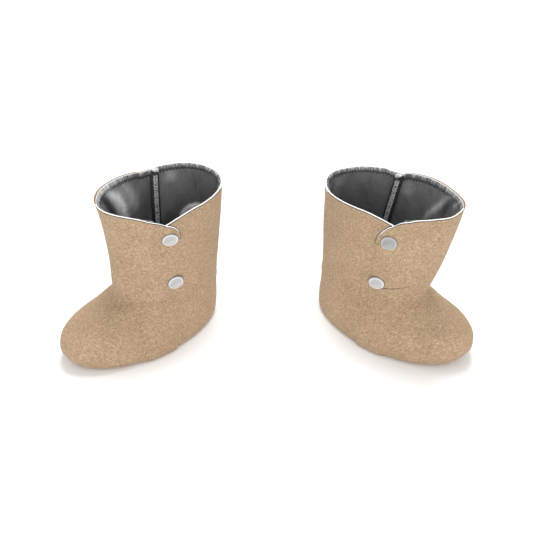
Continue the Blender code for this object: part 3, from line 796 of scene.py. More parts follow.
def front_lining_columns(cover, heights):
    """Columns of the front lining, which ends just short of the tucked edge of the back."""
    start = cover.seam(heights, 0.5 * SEAM_GAP) - 360.0
    end = cover.tuck(heights, 2.0 * SEAM_GAP)
    return between(start, end, even_shares(cover.seam(RIM_HEIGHT) - 360.0, cover.tuck(RIM_HEIGHT)))


def back_lining_columns(cover, heights):
    """Columns of the back lining."""
    start = cover.tuck(heights)
    end = cover.seam(heights, -0.5 * SEAM_GAP)
    return between(start, end, even_shares(cover.tuck(RIM_HEIGHT), cover.seam(RIM_HEIGHT)))


def front_panel(side, cover, looks):
    """Front: shin, instep and toe in one, with the closing flap."""
    foot = cover.corner_foot()

    def near_edge(angles, heights):
        edge = cover.flap_edge(heights)
        start = cover.flap_edge(heights, SKIVE_WIDTH)
        return ease((angles - start) / (edge - start))

    def thin(angles, heights):
        below = ease((foot - heights) / SKIVE_FALL) * ease((heights - SKIVE_LOW) / SKIVE_LOW_RUN)
        return OUTER_WALL - (OUTER_WALL - SKIVED_EDGE) * near_edge(angles, heights) * below

    def lift(angles, heights):
        return cover.lift(angles, heights) - (SEAM_GAP - SKIVED_GAP) * near_edge(angles, heights)

    return leather_wall(side, "front", cover, front_columns, cover.front_top, lift, thin, 1.0, looks)


def corner_edge(side, cover, looks):
    """Pale core along the flap's rounded corner, and dark tubes of painted shadow: in the gap beside it, in
    the short nick at its end, and along creases.
    """
    notch = cover.sizes["notch"]["angle"]
    turn = np.radians(np.linspace(CORNER_START, 90.0, CORNER_STEPS))
    angles = notch + (cover.corner_end() - notch) * np.sin(turn)
    heights = cover.front_top(angles)
    shares = np.linspace(0.0, 1.0, len(turn))
    path = cover.point(angles, heights, FLAP_LIFT - GAP_DEPTH)
    beyond = np.cross(cover.normal(angles, heights), np.gradient(path, axis=0))
    beyond *= np.sign(beyond[:1, 2:]) / np.linalg.norm(beyond, axis=1, keepdims=True)
    gap = tube(path + beyond * GAP_BEYOND, GAP_RADIUS * (0.55 + 0.45 * shares), LINE_SIDES)
    core_path = cover.point(angles, heights, FLAP_LIFT - CORE_DEPTH) - CORE_WITHIN * beyond
    core_sizes = 0.2 + 0.8 * ease((CORE_END - shares) / 0.5)
    core = tube(core_path, CORE_RADIUS * core_sizes, LINE_SIDES)
    shift = np.linspace(0.0, NICK_LENGTH, 8)
    height = np.full_like(shift, heights[-1])
    nick_path = cover.point(cover.flap_edge(height, shift), height, FLAP_LIFT)
    nick = tube(nick_path, NICK_RADIUS * np.linspace(1.0, 0.7, len(shift)), LINE_SIDES)
    lines = [crease_line(cover, trough["path"]) for trough in cover.sizes["troughs"] if "line" in trough]
    # The gap, nick and crease lines are painted shadow and shade: dark tubes in the darkest leather colour
    dark, pale = looks["panel"][BURNISH_AND_SHADE], looks["panel"][CORE]
    return (thread_piece(f"{side}_corner_painted_shadow", cover, [gap, nick, *lines], dark, "tan_nubuck"),
            thread_piece(f"{side}_corner_core", cover, [core], pale, "tan_nubuck"))


def crease_line(cover, path):
    """Sharp dark line at the bottom of a crease: a thin dark tube of painted shade."""
    shares = np.linspace(0.0, 1.0, CREASE_STEPS)
    corners = np.linspace(0.0, 1.0, len(path))
    angles, heights = (np.interp(shares, corners, column) for column in zip(*path))
    heights += 0.25 * np.sin(14.0 * shares)
    line = cover.point(angles, heights, cover.lift(angles, heights) + CREASE_RISE)
    fade = 0.25 + 0.75 * np.sin(np.pi * np.clip(1.0 - shares, 0.05, 0.5))
    return tube(line, CREASE_RADIUS * fade, LINE_SIDES)


def back_panel(side, cover, looks):
    """Back: calf and heel in one, tucked under the flap."""

    def full(angles, heights):
        return np.full_like(heights, OUTER_WALL)

    def flat(angles, heights):
        return np.zeros_like(heights)

    return leather_wall(side, "back", cover, back_columns, cover.back_top, flat, full, -1.0, looks)


def lining_relief(cover, angles, heights):
    """How far folds and swells push the lining inwards, and their tone: painted sheen where it is above 0,
    painted shade below.
    """
    depth = np.zeros_like(heights)
    tone = np.zeros_like(heights)
    spot = cover.base(angles, heights)
    for fold in (*cover.sizes["folds"], *COMMON_FOLDS):
        near, fade = cover.along_path(fold, spot)
        depth += fold["depth"] * bell(near) * fade
        tone += fold["tone"] * bell(near) * fade
    for swell in cover.sizes["swells"]:
        across = angle_gap(angles, swell["angle"]) / swell["across"]
        along = (heights - swell["height"]) / swell["along"]
        full = ease((1.25 - np.hypot(across, along) ** 2) / SWELL_EDGE)
        depth += swell["depth"] * full
        tone += swell["tone"] * full
    turn = np.radians(angles)
    ripple = np.sin(23.0 * turn + 0.05 * heights) * np.sin(11.0 * turn - 0.08 * heights + 1.0)
    depth += RIPPLE_DEPTH * ripple * ease((heights - 10.0) / 30.0)
    return depth, tone


def lining(side, part, cover, columns, top, looks):
    """One satin lining panel, from just above the sole to just under the hem."""
    angles, heights = settle(cover, columns, LINING_FOOT, top, HEM_DEPTH + HEM_TOP_GAP + HEM_JOIN)
    depth, tone = lining_relief(cover, angles, heights)
    pinch = LINING_PINCH * bell((heights - heights[-1]) / PINCH_REACH)
    outer = cover.point(angles, heights, LINING_FACE - depth)
    inner = cover.point(angles, heights, LINING_BACK - depth + pinch)
    return wall(f"{side}_{part}_satin", cover, outer, inner, [looks["satin"]], "grey_satin",
                [f"{side}_{part}"], tone=tone)


def rim_places(cover, start, end, pitch, parts=1):
    """Angles evenly spaced along the rim: about a pitch apart, with each pitch cut into parts."""
    fine = np.linspace(start, end, RIM_SAMPLES)
    run = cover.base(fine, np.full(RIM_SAMPLES, RIM_HEIGHT))
    length = np.concatenate([[0.0], np.cumsum(np.linalg.norm(np.diff(run, axis=0), axis=1))])
    count = round(length[-1] / pitch) * parts
    return np.interp(np.linspace(0.0, length[-1], count + 1), length, fine)


def hem_tone(cover, angles, place, crest, covered, rows):
    """How light the hem looks: painted highlights on its crests, painted shade in its valleys and under the
    far rim's flare, its frayed upper tips, and painted light on its toe side.
    """
    wave, size = crest
    up = np.linspace(0.0, 1.0, rows)[:, None]
    # Painted highlight on the crests, stronger towards the top of the hem
    paler = 0.1 + 0.65 * up**3
    fuzz = 0.5 + 0.5 * np.sin(2.6 * place + 1.4 * np.sin(1.1 * place))
    tip = ease((up - 0.95 + 0.35 * fuzz) / 0.3)
    # Painted light on the hem's toe side
    painted_light = cover.sizes["hem_painted_light"] * bell(angle_gap(angles, HEM_PAINTED_LIGHT_ANGLE) / HEM_PAINTED_LIGHT_REACH)
    # Painted shade in the valleys, and under the far rim's flare where the hem is covered
    tone = (wave * size) * paler - 0.06 * (1.0 - wave) + (0.7 - 0.5 * covered) * tip
    return tone + (painted_light * (0.6 + 0.8 * wave) - 0.12 * covered)


def hem(side, part, cover, start, end, top, looks):
    """Puckered hem of the lining, pinched along its stitches, just inside the rim."""
    angles = rim_places(cover, start, end, PUCKER_PITCH, PUCKER_STEPS)
    place = np.arange(len(angles)) / PUCKER_STEPS
    phase = place + 0.28 * np.sin(0.9 * place) + 0.2 * np.sin(2.3 * place + 1.0)
    wave = np.abs(np.sin(np.pi * phase)) ** 0.7
    size = 0.75 + 0.25 * np.sin(1.7 * place + 2.0)
    shares = np.linspace(0.0, 1.0, HEM_ROWS)[:, None]
    swell = np.sin(np.pi * np.clip(0.05 + 0.68 * shares, 0.0, 1.0))
    covered = ease((FAR_RIM - angles) / FAR_ONSET)
    from_closure = np.abs(angle_gap(angles, CLOSURE_ANGLE))
    rise = FAR_HEM_RISE * ease((from_closure - FAR_HEM_START) / FAR_HEM_ONSET)
    upper = top(angles) - HEM_TOP_GAP + rise + CREST_RISE * wave * size * (1.0 - covered)
    heights = upper - (HEM_DEPTH + rise) * (1.0 - shares)
    leaned = angles + PUCKER_LEAN * (1.0 - shares)
    rolled = HEM_TOP_THIN + (1.0 - HEM_TOP_THIN) * ease(HEM_DEPTH * (1.0 - shares) / HEM_TOP_ROLL)
    thick = HEM_WALL * (0.35 + 0.65 * swell) + PUCKER_DEPTH * size * wave * swell
    face = np.full_like(heights, HEM_FACE)
    back = HEM_FACE - thick * rolled
    outer = cover.point(leaned, heights, face)
    inner = cover.point(leaned, heights, back)
    middle = 0.5 * (face + back)
    high = cover.point(leaned[-1], heights[-1] + HEM_TOP_ROUND, middle[-1])[None]
    low = cover.point(leaned[0], heights[0] - HEM_FOOT_ROUND, middle[0])[None]
    outer = np.concatenate([low, outer, high])
    inner = np.concatenate([low, inner, high])
    outer[0] += EDGE_SPLIT * (outer[1] - inner[1])
    outer[-1] += EDGE_SPLIT * (outer[-2] - inner[-2])
    tone = hem_tone(cover, angles, place, (wave, size), covered, len(outer))
    return wall(f"{side}_{part}_satin", cover, outer, inner, [looks["hem"]], "hem_satin",
                [f"{side}_{part}"], tone=tone)


def tube(path, radius, sides=6):
    """Points and faces of a closed round tube along a path, in the path's units."""
    path = np.asarray(path)
    radius = np.broadcast_to(np.asarray(radius, dtype=float), len(path))
    ahead = np.gradient(path, axis=0)
    ahead /= np.linalg.norm(ahead, axis=1, keepdims=True)
    up = np.array([0.0, 0.0, 1.0])
    across = np.cross(ahead, up)
    short = np.linalg.norm(across, axis=1) < 1e-6
    across[short] = (1.0, 0.0, 0.0)
    across /= np.linalg.norm(across, axis=1, keepdims=True)
    other = np.cross(across, ahead)
    turn = np.linspace(0.0, 2.0 * np.pi, sides, endpoint=False)
    ring = across[:, None] * np.cos(turn)[None, :, None] + other[:, None] * np.sin(turn)[None, :, None]
    points = path[:, None] + ring * radius[:, None, None]
    return points.reshape(-1, 3), stacked_rings(len(path), sides)


def joined(runs):
    """One set of points and faces from several."""
    points = []
    faces = []
    start = 0
    for run_points, run_faces in runs:
        points.append(run_points)
        faces.extend([tuple(start + k for k in face) for face in run_faces])
        start += len(run_points)
    return np.concatenate(points), faces


def thread_piece(name, cover, runs, material, slot):
    """One mesh piece from many short tubes."""
    points, faces = joined(runs)
    return dress(new_mesh(name, cover.stand(points), faces, [material]), slot)


def hem_stitches(side, part, cover, start, end, top, looks):
    """Row of dark stitches along the lower edge of the hem."""
    starts = rim_places(cover, start, end, STITCH_PITCH)
    steps = np.linspace(0.0, STITCH_LENGTH / STITCH_PITCH, len(STITCH_TAPER))
    rise = np.sin(np.pi * steps / steps[-1])
    runs = []
    for here, after in zip(starts, starts[1:]):
        angles = here + (after - here) * steps
        heights = top(angles) - STITCH_DROP
        depth = lining_relief(cover, angles, heights)[0]
        spots = cover.point(angles, heights, LINING_BACK - depth - STITCH_BACK - STITCH_BOW * rise)
        runs.append(tube(spots, STITCH_RADIUS * np.array(STITCH_TAPER)))
    return thread_piece(f"{side}_{part}_stitches", cover, runs, looks["dark_thread"], "overcast_thread")


def seam_section():
    """Half section of the overcast seam: across and offset, from its foot to its crest."""
    face = LINING_BACK - RIDGE_GAP
    turn = np.radians(np.linspace(0.0, 180.0, 13))
    across = ALLOWANCE_HALF * np.cos(turn)
    rise = ALLOWANCE_WALL * np.sin(turn) ** 0.55
    return across, face - rise


def seam_ridge(side, cover, looks):
    """Both edges of the outer seam, turned in and standing as a soft ridge inside the cover."""
    heights = np.arange(ALLOWANCE_FOOT, ALLOWANCE_HEAD, STEP)
    across, offsets = seam_section()
    grid_heights = np.repeat(heights[:, None], len(across), axis=1)
    angles = np.stack([cover.seam(heights, ALLOWANCE_LEAN + shift) for shift in across], axis=1)
    wave = 0.18 * np.sin(grid_heights * 0.9) + 0.12 * np.sin(grid_heights * 2.1 + 1.0)
    crest = offsets[None] - wave * (np.abs(across)[None] < RIDGE_CREST)
    inner = cover.point(angles, grid_heights, crest)
    outer = cover.point(angles, grid_heights, np.full_like(crest, LINING_BACK - RIDGE_FOOT_GAP))
    return wall(f"{side}_seam_satin", cover, outer, inner, [looks["seam"]], "overcast_thread",
                [f"{side}_seam"])


def overcast(side, cover, looks):
    """Overcast threads: two crossing zigzags and a looped chain down the ridge."""
    half_pitch = 0.5 * THREAD_PITCH
    face = LINING_BACK - RIDGE_GAP - ALLOWANCE_WALL
    runs = []
    count = int((ALLOWANCE_HEAD - ALLOWANCE_FOOT - 2.0 * THREAD_END) / half_pitch)
    turns = np.arange(count + 1)
    for begin in (1.0, -1.0):
        sway = 0.25 * np.sin(turns * 2.7 + begin)
        corner_heights = ALLOWANCE_FOOT + THREAD_END + turns * half_pitch + sway
        wobble = 1.0 + 0.12 * np.sin(turns * 1.9)
        corner_across = begin * THREAD_HALF * np.where(turns % 2, -1.0, 1.0) * wobble
        fine = np.linspace(0.0, count, 4 * count + 1)
        heights = np.interp(fine, turns, corner_heights)
        across = np.interp(fine, turns, corner_across)
        bow = 0.32 * np.cos(np.pi * across / (2.6 * THREAD_HALF))
        angles = cover.seam(heights, ALLOWANCE_LEAN + across)
        runs.append(tube(cover.point(angles, heights, face + 0.28 - bow), THREAD_RADIUS, THREAD_SIDES))
    fine = np.arange(ALLOWANCE_FOOT + THREAD_END, ALLOWANCE_HEAD - THREAD_END, CHAIN_STEP)
    for place in CHAIN_ACROSS:
        across = place + 0.28 * np.sin(fine * 2.0 * np.pi / THREAD_PITCH)
        offset = face - 0.28 + 0.2 * np.cos(fine * 4.0 * np.pi / THREAD_PITCH)
        angles = cover.seam(fine, ALLOWANCE_LEAN + across)
        runs.append(tube(cover.point(angles, fine, offset), 0.8 * THREAD_RADIUS, THREAD_SIDES))
    return thread_piece(f"{side}_overcast", cover, runs, looks["pale_thread"], "overcast_thread")


def seam_end(side, cover, looks):
    """The folded end of the seam, tacked down over the hem with dark thread whose wedge also paints the
    shadow beside the tab.
    """
    across = ALLOWANCE_LEAN + np.linspace(*TAB_ACROSS, 12)
    shares = np.linspace(0.0, 1.0, 9)[:, None]
    crown = cover.crown(cover.seam(RIM_HEIGHT))
    heights = crown - TAB_FOOT + TAB_LENGTH * shares + 0.25 * np.sin(across)[None]
    columns = zip(np.minimum(heights, RIM_HEIGHT).T, across)
    angles = np.stack([cover.seam(column, shift) for column, shift in columns], axis=1)
    swell = np.sin(np.pi * np.clip(shares, 0.05, 0.95)) ** 0.5
    crests = HEM_FACE - HEM_WALL - PUCKER_DEPTH
    outer = cover.point(angles, heights, np.full_like(heights, HEM_FACE - HEM_WALL - 0.4))
    inner = cover.point(angles, heights, crests - 0.5 - 0.7 * swell - 0.1 * np.cos(across * 2.2)[None])
    tab = wall(f"{side}_seam_end", cover, outer, inner, [looks["pale_thread"]], "overcast_thread")
    # Dark thread tacks; their wedge is partly painted shadow beside the tab
    turn = np.linspace(*TACK_ACROSS, TACK_STEPS)
    climb = 0.05 + 0.75 * np.linspace(0.0, 1.0, TACK_STEPS) ** 1.5
    runs = []
    for k in range(TACK_STITCHES):
        level = crown - TACK_FOOT + climb * k + 0.1 * np.sin(3.0 * turn + k)
        spots = cover.point(cover.seam(level, ALLOWANCE_LEAN + turn), level, crests - TACK_OUT)
        runs.append(tube(spots, TACK_RADIUS, THREAD_SIDES))
    tack = thread_piece(f"{side}_seam_tack", cover, runs, looks["dark_thread"], "overcast_thread")
    return tab, tack


def sole(side, cover, looks):
    """Flat sole with a rounded edge. Its faces follow its rings, so the mirrored right one's point inward."""
    turn = np.arange(0.0, 360.0, SOLE_STEP_ANGLE)
    edge = cover.base(turn, np.zeros_like(turn))
    inward = -cover.normal(turn, np.full_like(turn, 1.0))
    inward[:, 2] = 0.0
    inward /= np.linalg.norm(inward, axis=1, keepdims=True)
    centre = edge.mean(axis=0)
    shares = np.linspace(0.0, SOLE_SPREAD, SOLE_RINGS)
    steps = [(*SOLE_EDGE[0], share) for share in shares[::-1]]
    steps += [(*step, 0.0) for step in SOLE_EDGE[1:-1]]
    steps += [(*SOLE_EDGE[-1], share) for share in shares]
    rings = []
    for inset, height, share in steps:
        ring = edge + inward * (SOLE_INSET + inset)
        ring += (centre - ring) * share
        ring[:, 2] = height
        rings.append(ring)
    points = cover.stand(np.concatenate(rings))
    faces = stacked_rings(len(rings), len(turn))
    obj = new_mesh(f"{side}_sole_nubuck", points, faces, [looks["panel"][0]], outward=False)
    return dress(obj, "tan_nubuck", f"{side}_sole")


def turned(name, profiles, materials):
    """A turned piece round its own z axis, from profiles of radius and height, a material each."""
    turn = np.linspace(0.0, 2.0 * np.pi, TURNED_STEPS, endpoint=False)
    points = []
    faces = []
    zones = []
    for zone, profile in enumerate(profiles):
        rings = []
        for radius, height in profile:
            if radius == 0.0:
                rings.append([len(points)] * TURNED_STEPS)
                points.append((0.0, 0.0, height * MM))
                continue
            rings.append(list(range(len(points), len(points) + TURNED_STEPS)))
            points.extend((radius * MM * math.cos(a), radius * MM * math.sin(a), height * MM) for a in turn)
        open_foot = profile[0][0] > 0.0
        ends_on_axis = profile[-1][0] == 0.0
        if open_foot and not ends_on_axis:
            rings.append(rings[0])
        for low, high in zip(rings, rings[1:]):
            for k in range(TURNED_STEPS):
                after = (k + 1) % TURNED_STEPS
                face = list(dict.fromkeys([low[k], low[after], high[after], high[k]]))
                if len(face) > 2:
                    faces.append(face)
                    zones.append(zone)
        if open_foot and ends_on_axis:
            faces.append(rings[0][::-1])
            zones.append(zone)
    return new_mesh(name, points, faces, materials, zones)


def seat(obj, cover, place, offset, node):
    """Set a turned piece on the wall, with its own z axis along the way that its snap faces."""
    x, height = cover.sizes[f"{place}_snap"]
    height = np.array([height])
    here = cover.stand(cover.point(cover.angle_at(x, height), height, np.array([offset])))[0]
    out = Vector(front_direction(*cover.sizes["facing"][place]))
    obj.location = Vector(here)
    obj.rotation_mode = "QUATERNION"
    obj.rotation_quaternion = out.to_track_quat("Z", "Y")
    dress(obj, "snap_plastic", node)


def snaps(side, cover, looks):
    """Caps on the flap and studs on the lining."""
    for place in ("upper", "lower"):
        name = f"{side}_{place}"
        cap_look = looks["shaded_plastic" if (side, place) == SHADED_CAP else "plastic"]
        cap = turned(f"{name}_snap_cap", (CAP_PROFILE, RIM_AND_SHADOW_PROFILE), (cap_look, looks["dark_rim_and_shadow"]))
        seat(cap, cover, place, FLAP_LIFT + CAP_SEAT, f"{name}_snap")
        stud = turned(f"{name}_snap_stud", (STUD_PROFILE,), (looks["plastic"],))
        seat(stud, cover, place, LINING_BACK - STUD_SEAT - 0.5 * STUD_WALL, f"{name}_stud")


class Nodes:
    """A material with a Principled shader and short calls for its nodes."""

    def __init__(self, name, colour, roughness, specular=0.5):
        self.material = bpy.data.materials.new(name)
        self.material.use_nodes = True
        self.tree = self.material.node_tree
        self.shader = self.tree.nodes["Principled BSDF"]
        self.set("Base Color", (*colour, 1.0))
        self.set("Roughness", roughness)
        self.set("Specular IOR Level", specular)
        self.coords = self.tree.nodes.new("ShaderNodeTexCoord").outputs["Object"]

    def set(self, socket, value):
        """Set a constant on the shader."""
        self.shader.inputs[socket].default_value = value

    def feed(self, socket, output):
        """Link an output to a socket of the shader."""
        self.link(output, self.shader.inputs[socket])

    def link(self, value, socket):
        """Link an output to a socket, or set the socket to a number or a colour."""
        if isinstance(value, (float, tuple)):
            socket.default_value = value
        else:
            self.tree.links.new(value, socket)

    def node(self, kind, inputs):
        """A new node with some inputs linked or set."""
        node = self.tree.nodes.new(kind)
        for socket, value in inputs.items():
            self.link(value, node.inputs[socket])
        return node

    def stretched(self, scale):
        """Coordinates of the piece, scaled along each axis."""
        return self.node("ShaderNodeMapping", {"Scale": scale, "Vector": self.coords}).outputs["Vector"]

    def mirrored(self):
        """Coordinates with the same x on both sides of the pair."""
        split = self.node("ShaderNodeSeparateXYZ", {"Vector": self.coords}).outputs
        sockets = {"X": self.math("ABSOLUTE", split["X"]), "Y": split["Y"], "Z": split["Z"]}
        return self.node("ShaderNodeCombineXYZ", sockets).outputs["Vector"]

    def streaked(self, turn, length):
        """Mirrored coordinates for streaks that lie turned from level, longer than they are wide."""
        sockets = {"Rotation": (0.0, -turn, 0.0), "Scale": (length, 1.0, 1.0), "Vector": self.mirrored()}
        place = self.node("ShaderNodeMapping", sockets)
        place.vector_type = "TEXTURE"
        return place.outputs["Vector"]

    def radius(self):
        """Distance from the piece's own z axis, in millimetres."""
        length = self.node("ShaderNodeVectorMath", {0: self.stretched((1.0 / MM, 1.0 / MM, 0.0))})
        length.operation = "LENGTH"
        return length.outputs["Value"]

    def along(self, way):
        """Distance along a direction in the piece's own frame, in millimetres."""
        dot = self.node("ShaderNodeVectorMath", {0: self.coords, 1: tuple(part / MM for part in way)})
        dot.operation = "DOT_PRODUCT"
        return dot.outputs["Value"]

    def noise(self, scale, detail, rough, stretch=(1.0, 1.0, 1.0), distortion=0.0, coords=None):
        """Noise of a scale per metre, stretched along the axes."""
        sockets = {"Scale": scale, "Detail": detail, "Roughness": rough, "Distortion": distortion,
                   "Vector": coords or self.stretched(stretch)}
        return self.node("ShaderNodeTexNoise", sockets).outputs["Fac"]

    def ramp(self, value, *stops):
        """Colours or greys along a value."""
        node = self.node("ShaderNodeValToRGB", {"Fac": value})
        elements = node.color_ramp.elements
        while len(elements) < len(stops):
            elements.new(0.5)
        for element, (position, colour) in zip(elements, stops):
            element.position = position
            element.color = (*colour, 1.0)
        return node.outputs["Color"]

    def times(self, first, second):
        """Two colours multiplied."""
        node = self.node("ShaderNodeMix", {"Factor": 1.0})
        node.data_type = "RGBA"
        node.blend_type = "MULTIPLY"
        self.link(first, node.inputs[6])
        self.link(second, node.inputs[7])
        return node.outputs[2]

    def math(self, kind, first, second=0.5):
        """Sum, product or the like of two values. One that takes a single value ignores the second."""
        node = self.node("ShaderNodeMath", {0: first, 1: second})
        node.operation = kind
        return node.outputs["Value"]

    def bump(self, height, distance, strength=1.0, below=None):
        """Bump of a depth in metres."""
        sockets = {"Distance": distance, "Strength": strength, "Height": height}
        if below is not None:
            sockets["Normal"] = below
        return self.node("ShaderNodeBump", sockets).outputs["Normal"]


def grey(value):
    """A grey as a colour."""
    return (value, value, value)


def nubuck():
    """Tan nubuck: a short nap in slanting streaks, over slow changes of tone."""
    look = Nodes("tan_nubuck_nap", (0.4, 0.285, 0.185), 0.92, 0.12)
    look.set("Sheen Weight", 0.12)
    look.set("Sheen Roughness", 0.55)
    look.set("Sheen Tint", (0.95, 0.82, 0.68, 1.0))
    streaks = look.noise(980.0, 3.0, 0.6, distortion=0.5, coords=look.streaked(NAP_TURN, NAP_LENGTH))
    fine = look.noise(1500.0, 2.0, 0.6)
    slow = look.noise(34.0, 2.0, 0.5)
    tone = look.ramp(streaks, (0.32, (0.29, 0.2, 0.122)), (0.5, (0.402, 0.284, 0.182)),
                     (0.68, (0.54, 0.394, 0.264)))
    tone = look.times(tone, look.ramp(fine, (0.3, grey(0.8)), (0.7, grey(1.16))))
    tone = look.times(tone, look.ramp(slow, (0.3, (0.93, 0.915, 0.9)), (0.7, (1.03, 1.03, 1.03))))
    look.feed("Base Color", tone)
    look.feed("Roughness", look.ramp(streaks, (0.3, grey(0.98)), (0.7, grey(0.84))))
    nap = look.bump(fine, 0.00012, 0.7)
    look.feed("Normal", look.bump(streaks, 0.00035, 0.8, nap))
    return look.material


def grained(name, colour, roughness, grain, tones, relief=None, specular=0.5, sheen=0.0):
    """A material with one fine grain in its colour and, with a relief, in its surface."""
    look = Nodes(name, colour, roughness, specular)
    look.set("Sheen Weight", sheen)
    fibre = look.noise(*grain)
    look.feed("Base Color", look.ramp(fibre, *tones))
    if relief is not None:
        look.feed("Normal", look.bump(fibre, *relief))
    return look.material


def cut_edge():
    """Pale fibrous core of the leather on its cut edge."""
    tones = ((0.3, (0.78, 0.775, 0.76)), (0.6, (0.93, 0.93, 0.925)))
    return grained("pale_cut_edge", (0.8, 0.79, 0.77), 0.85, (1400.0, 3.0, 0.6), tones, (0.0002, 0.5), 0.2)


def burnish_and_shade():
    """Skin of the leather where the knife has pressed and darkened it, made near black as painted shade. The
    same dark paints the shadow in the flap's gap, its nick and creases.
    """
    tones = ((0.35, (0.03, 0.026, 0.022)), (0.65, (0.1, 0.08, 0.062)))
    return grained("burnished_skin_and_painted_shade", (0.1, 0.07, 0.05), 0.7, (900.0, 2.0, 0.6), tones, (0.0001, 0.5), 0.3)


def far_rim_shade():
    """Nubuck on the outer corner of the far rim: a darker copy, painted shade."""
    tones = ((0.35, (0.2, 0.125, 0.07)), (0.65, (0.32, 0.21, 0.125)))
    return grained("far_rim_painted_shade", (0.25, 0.16, 0.095), 0.95, (700.0, 2.0, 0.6), tones, specular=0.05)


def satin(name, valley, plain, crest, roughness, wrinkle):
    """Crinkled satin, with painted sheen along the crests of its folds and painted shade in their valleys."""
    look = Nodes(name, plain, roughness, 0.55)
    look.set("Sheen Weight", 0.25)
    look.set("Sheen Roughness", 0.35)
    # Tone is painted light: from the valley grey (painted shade) through the plain grey to the crest grey
    # (painted sheen)
    crests = look.node("ShaderNodeAttribute", {})
    crests.attribute_name = "tone"
    cloudy = look.noise(70.0, 4.0, 0.6, (1.0, 1.0, 0.55), 1.2)
    small = look.noise(260.0, 3.0, 0.6, (1.0, 1.0, 0.6), 0.5)
    weave = look.noise(3200.0, 1.0, 0.5, (1.0, 1.0, 0.25))
    share = look.math("MULTIPLY", look.math("ADD", crests.outputs["Fac"], 0.667), 0.6)
    tone = look.ramp(share, (0.0, valley), (0.4, plain), (1.0, crest))
    tone = look.times(tone, look.ramp(cloudy, (0.35, grey(0.78)), (0.68, grey(1.3))))
    tone = look.times(tone, look.ramp(weave, (0.3, grey(0.9)), (0.7, grey(1.1))))
    look.feed("Base Color", tone)
    uneven = look.ramp(cloudy, (0.3, grey(roughness + 0.08)), (0.7, grey(roughness - 0.06)))
    look.feed("Roughness", uneven)
    creases = look.bump(small, wrinkle, 0.6)
    slow = look.bump(cloudy, 2.5 * wrinkle, 0.7, creases)
    look.feed("Normal", look.bump(weave, 0.00003, 0.4, slow))
    return look.material


def seam_cloth():
    """Dark satin edge under the overcast threads."""
    tones = ((0.35, grey(0.012)), (0.7, grey(0.05)))
    return grained("overcast_satin_edge", (0.02, 0.02, 0.021), 0.6, (900.0, 3.0, 0.6), tones, (0.0002, 0.6))


def thread(name, dark, light, roughness):
    """Twisted polyester thread."""
    ply = (1700.0, 2.0, 0.6, (1.0, 1.0, 1.4), 0.8)
    return grained(name, light, roughness, ply, ((0.35, dark), (0.65, light)), (0.0001, 0.7), sheen=0.2)


def plastic(name, tone):
    """Pale grey moulded plastic of the snaps, with a painted highlight on its outer ring, a painted
    reflection that makes one half lighter, and faint handling marks.
    """
    look = Nodes(name, grey(tone), 0.22)
    look.set("Coat Weight", 0.25)
    look.set("Coat Roughness", 0.12)
    haze = look.noise(180.0, 3.0, 0.6)
    scuff = look.noise(1500.0, 2.0, 0.5, (1.0, 0.2, 1.0))
    worn = look.ramp(haze, (0.35, grey(0.95)), (0.65, grey(1.05)))
    # Painted highlight: the outer ring lighter than the middle
    middle = grey(0.93 * tone)
    rim = grey(1.3 * tone)
    out = look.math("DIVIDE", look.radius(), 10.0)
    ring = look.ramp(out, (0.0, middle), (0.48, middle), (0.52, rim), (1.0, rim))
    # Painted reflection: one half of the cap lighter than the other
    half = look.math("ADD", look.along(CAP_REFLECTION_WAY), 0.5)
    sides = look.ramp(half, (0.3, grey(0.96)), (0.7, grey(1.06)))
    look.feed("Base Color", look.times(look.times(ring, sides), worn))
    look.feed("Roughness", look.ramp(scuff, (0.35, grey(0.2)), (0.7, grey(0.32))))
    look.feed("Normal", look.bump(scuff, 0.00001, 0.3))
    return look.material


def dark_rim_and_shadow():
    """Dark ring under a snap's cap: the socket's rim, made near black as painted shadow in the gap under the
    cap.
    """
    tones = ((0.4, grey(0.03)), (0.7, grey(0.08)))
    return grained("snap_rim_and_painted_shadow", (0.012, 0.012, 0.012), 0.6, (1200.0, 2.0, 0.5), tones)


def make_looks():
    """Every material of the covers."""
    return {
        "panel": [nubuck(), burnish_and_shade(), cut_edge(), far_rim_shade()],
        "satin": satin("dark_grey_satin", grey(0.045), grey(0.138), grey(0.8), 0.5, 0.0003),
        "hem": satin("puckered_hem_satin", grey(0.035), grey(0.062), grey(0.6), 0.5, 0.0001),
        "seam": seam_cloth(),
        "dark_thread": thread("dark_hem_thread", grey(0.006), grey(0.02), 0.6),
        "pale_thread": thread("silver_overcast_thread", grey(0.35), grey(0.9), 0.5),
        "plastic": plastic("pale_grey_plastic", 0.445),
        # A darker copy of the snap plastic: painted shade
        "shaded_plastic": plastic("painted_shade_grey_plastic", 0.31),
        "dark_rim_and_shadow": dark_rim_and_shadow(),
    }


def make_cover(side, looks):
    """Every piece of one cover."""
    cover = Cover(COVERS[side])
    front = front_panel(side, cover, looks)
    corner_pieces = corner_edge(side, cover, looks)
    back = back_panel(side, cover, looks)
    sole_piece = sole(side, cover, looks)
    front_lining = lining(side, "front_lining", cover, front_lining_columns, cover.front_top, looks)
    back_lining = lining(side, "back_lining", cover, back_lining_columns, cover.back_top, looks)
    hem_start = cover.seam(RIM_HEIGHT, ALLOWANCE_LEAN + HEM_END_MARGIN) - 360.0
    hem_end = cover.seam(RIM_HEIGHT, ALLOWANCE_LEAN - HEM_END_MARGIN)
    runs = (
        ("front_hem", cover, hem_start, cover.tuck(RIM_HEIGHT, 4.0 * SEAM_GAP), cover.front_top),
        ("back_hem", cover, cover.tuck(RIM_HEIGHT), hem_end, cover.back_top),
    )
    front_hem, back_hem = (hem(side, *run, looks) for run in runs)
    front_stitches, back_stitches = (hem_stitches(side, *run, looks) for run in runs)
    ridge = seam_ridge(side, cover, looks)
    seam_pieces = (overcast(side, cover, looks), *seam_end(side, cover, looks))
    snaps(side, cover, looks)


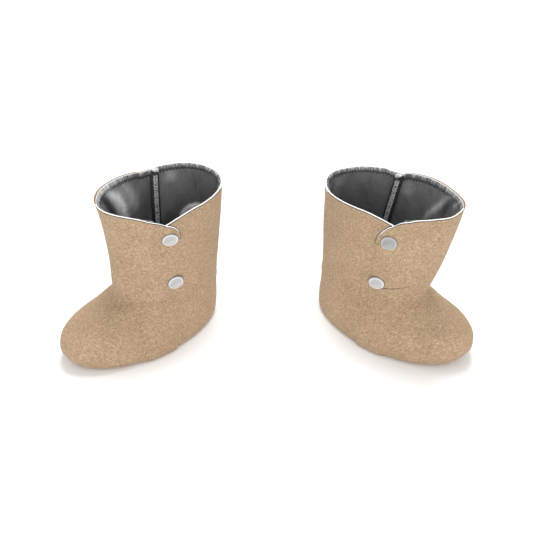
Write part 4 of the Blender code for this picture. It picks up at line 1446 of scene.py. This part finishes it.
def stage_floor():
    """White floor, far larger than the picture."""
    bpy.ops.mesh.primitive_plane_add(size=6.0, location=(0.0, 0.0, -0.0004))
    floor = bpy.context.object
    floor.name = "studio_floor"
    look = Nodes("white_floor", (0.92, 0.92, 0.92), 1.0, 0.0)
    floor.data.materials.append(look.material)


def soft_light(name, place, aim, size, power):
    """A square soft light aimed at a point."""
    data = bpy.data.lights.new(name, "AREA")
    data.shape = "SQUARE"
    data.size = size
    data.energy = power
    light = bpy.data.objects.new(name, data)
    light.location = place
    light.rotation_mode = "QUATERNION"
    light.rotation_quaternion = (Vector(aim) - Vector(place)).to_track_quat("-Z", "Y")
    bpy.context.scene.collection.objects.link(light)


def studio():
    """Near-white surroundings and soft lights, so that the floor is white and shadows are short."""
    world = bpy.data.worlds.new("studio_world")
    world.use_nodes = True
    background = world.node_tree.nodes["Background"]
    background.inputs["Color"].default_value = (1.0, 1.0, 1.0, 1.0)
    background.inputs["Strength"].default_value = 0.86
    bpy.context.scene.world = world
    soft_light("front_box", (0.1, -1.9, 0.8), (0.0, 0.0, 0.06), 1.4, 15.0)
    soft_light("top_box", (0.05, 0.42, 1.55), (0.0, 0.0, 0.0), 0.6, 16.0)
    bpy.context.scene.view_settings.view_transform = "Standard"
    bpy.context.scene.view_settings.look = "None"


def camera():
    """Camera at the photograph's angle."""
    data = bpy.data.cameras.new("photo_camera")
    data.lens = CAMERA_FOCAL
    data.sensor_width = SENSOR
    data.clip_start = 0.05
    data.clip_end = 20.0
    obj = bpy.data.objects.new("photo_camera", data)
    tilt = math.radians(CAMERA_ELEVATION)
    back = Vector((0.0, -math.cos(tilt), math.sin(tilt)))
    obj.location = Vector(CAMERA_TARGET) + back * CAMERA_DISTANCE
    obj.rotation_mode = "QUATERNION"
    obj.rotation_quaternion = (-back).to_track_quat("-Z", "Y")
    bpy.context.scene.collection.objects.link(obj)
    bpy.context.scene.camera = obj


camera()
all_looks = make_looks()
for cover_side in COVERS:
    make_cover(cover_side, all_looks)
stage_floor()
studio()
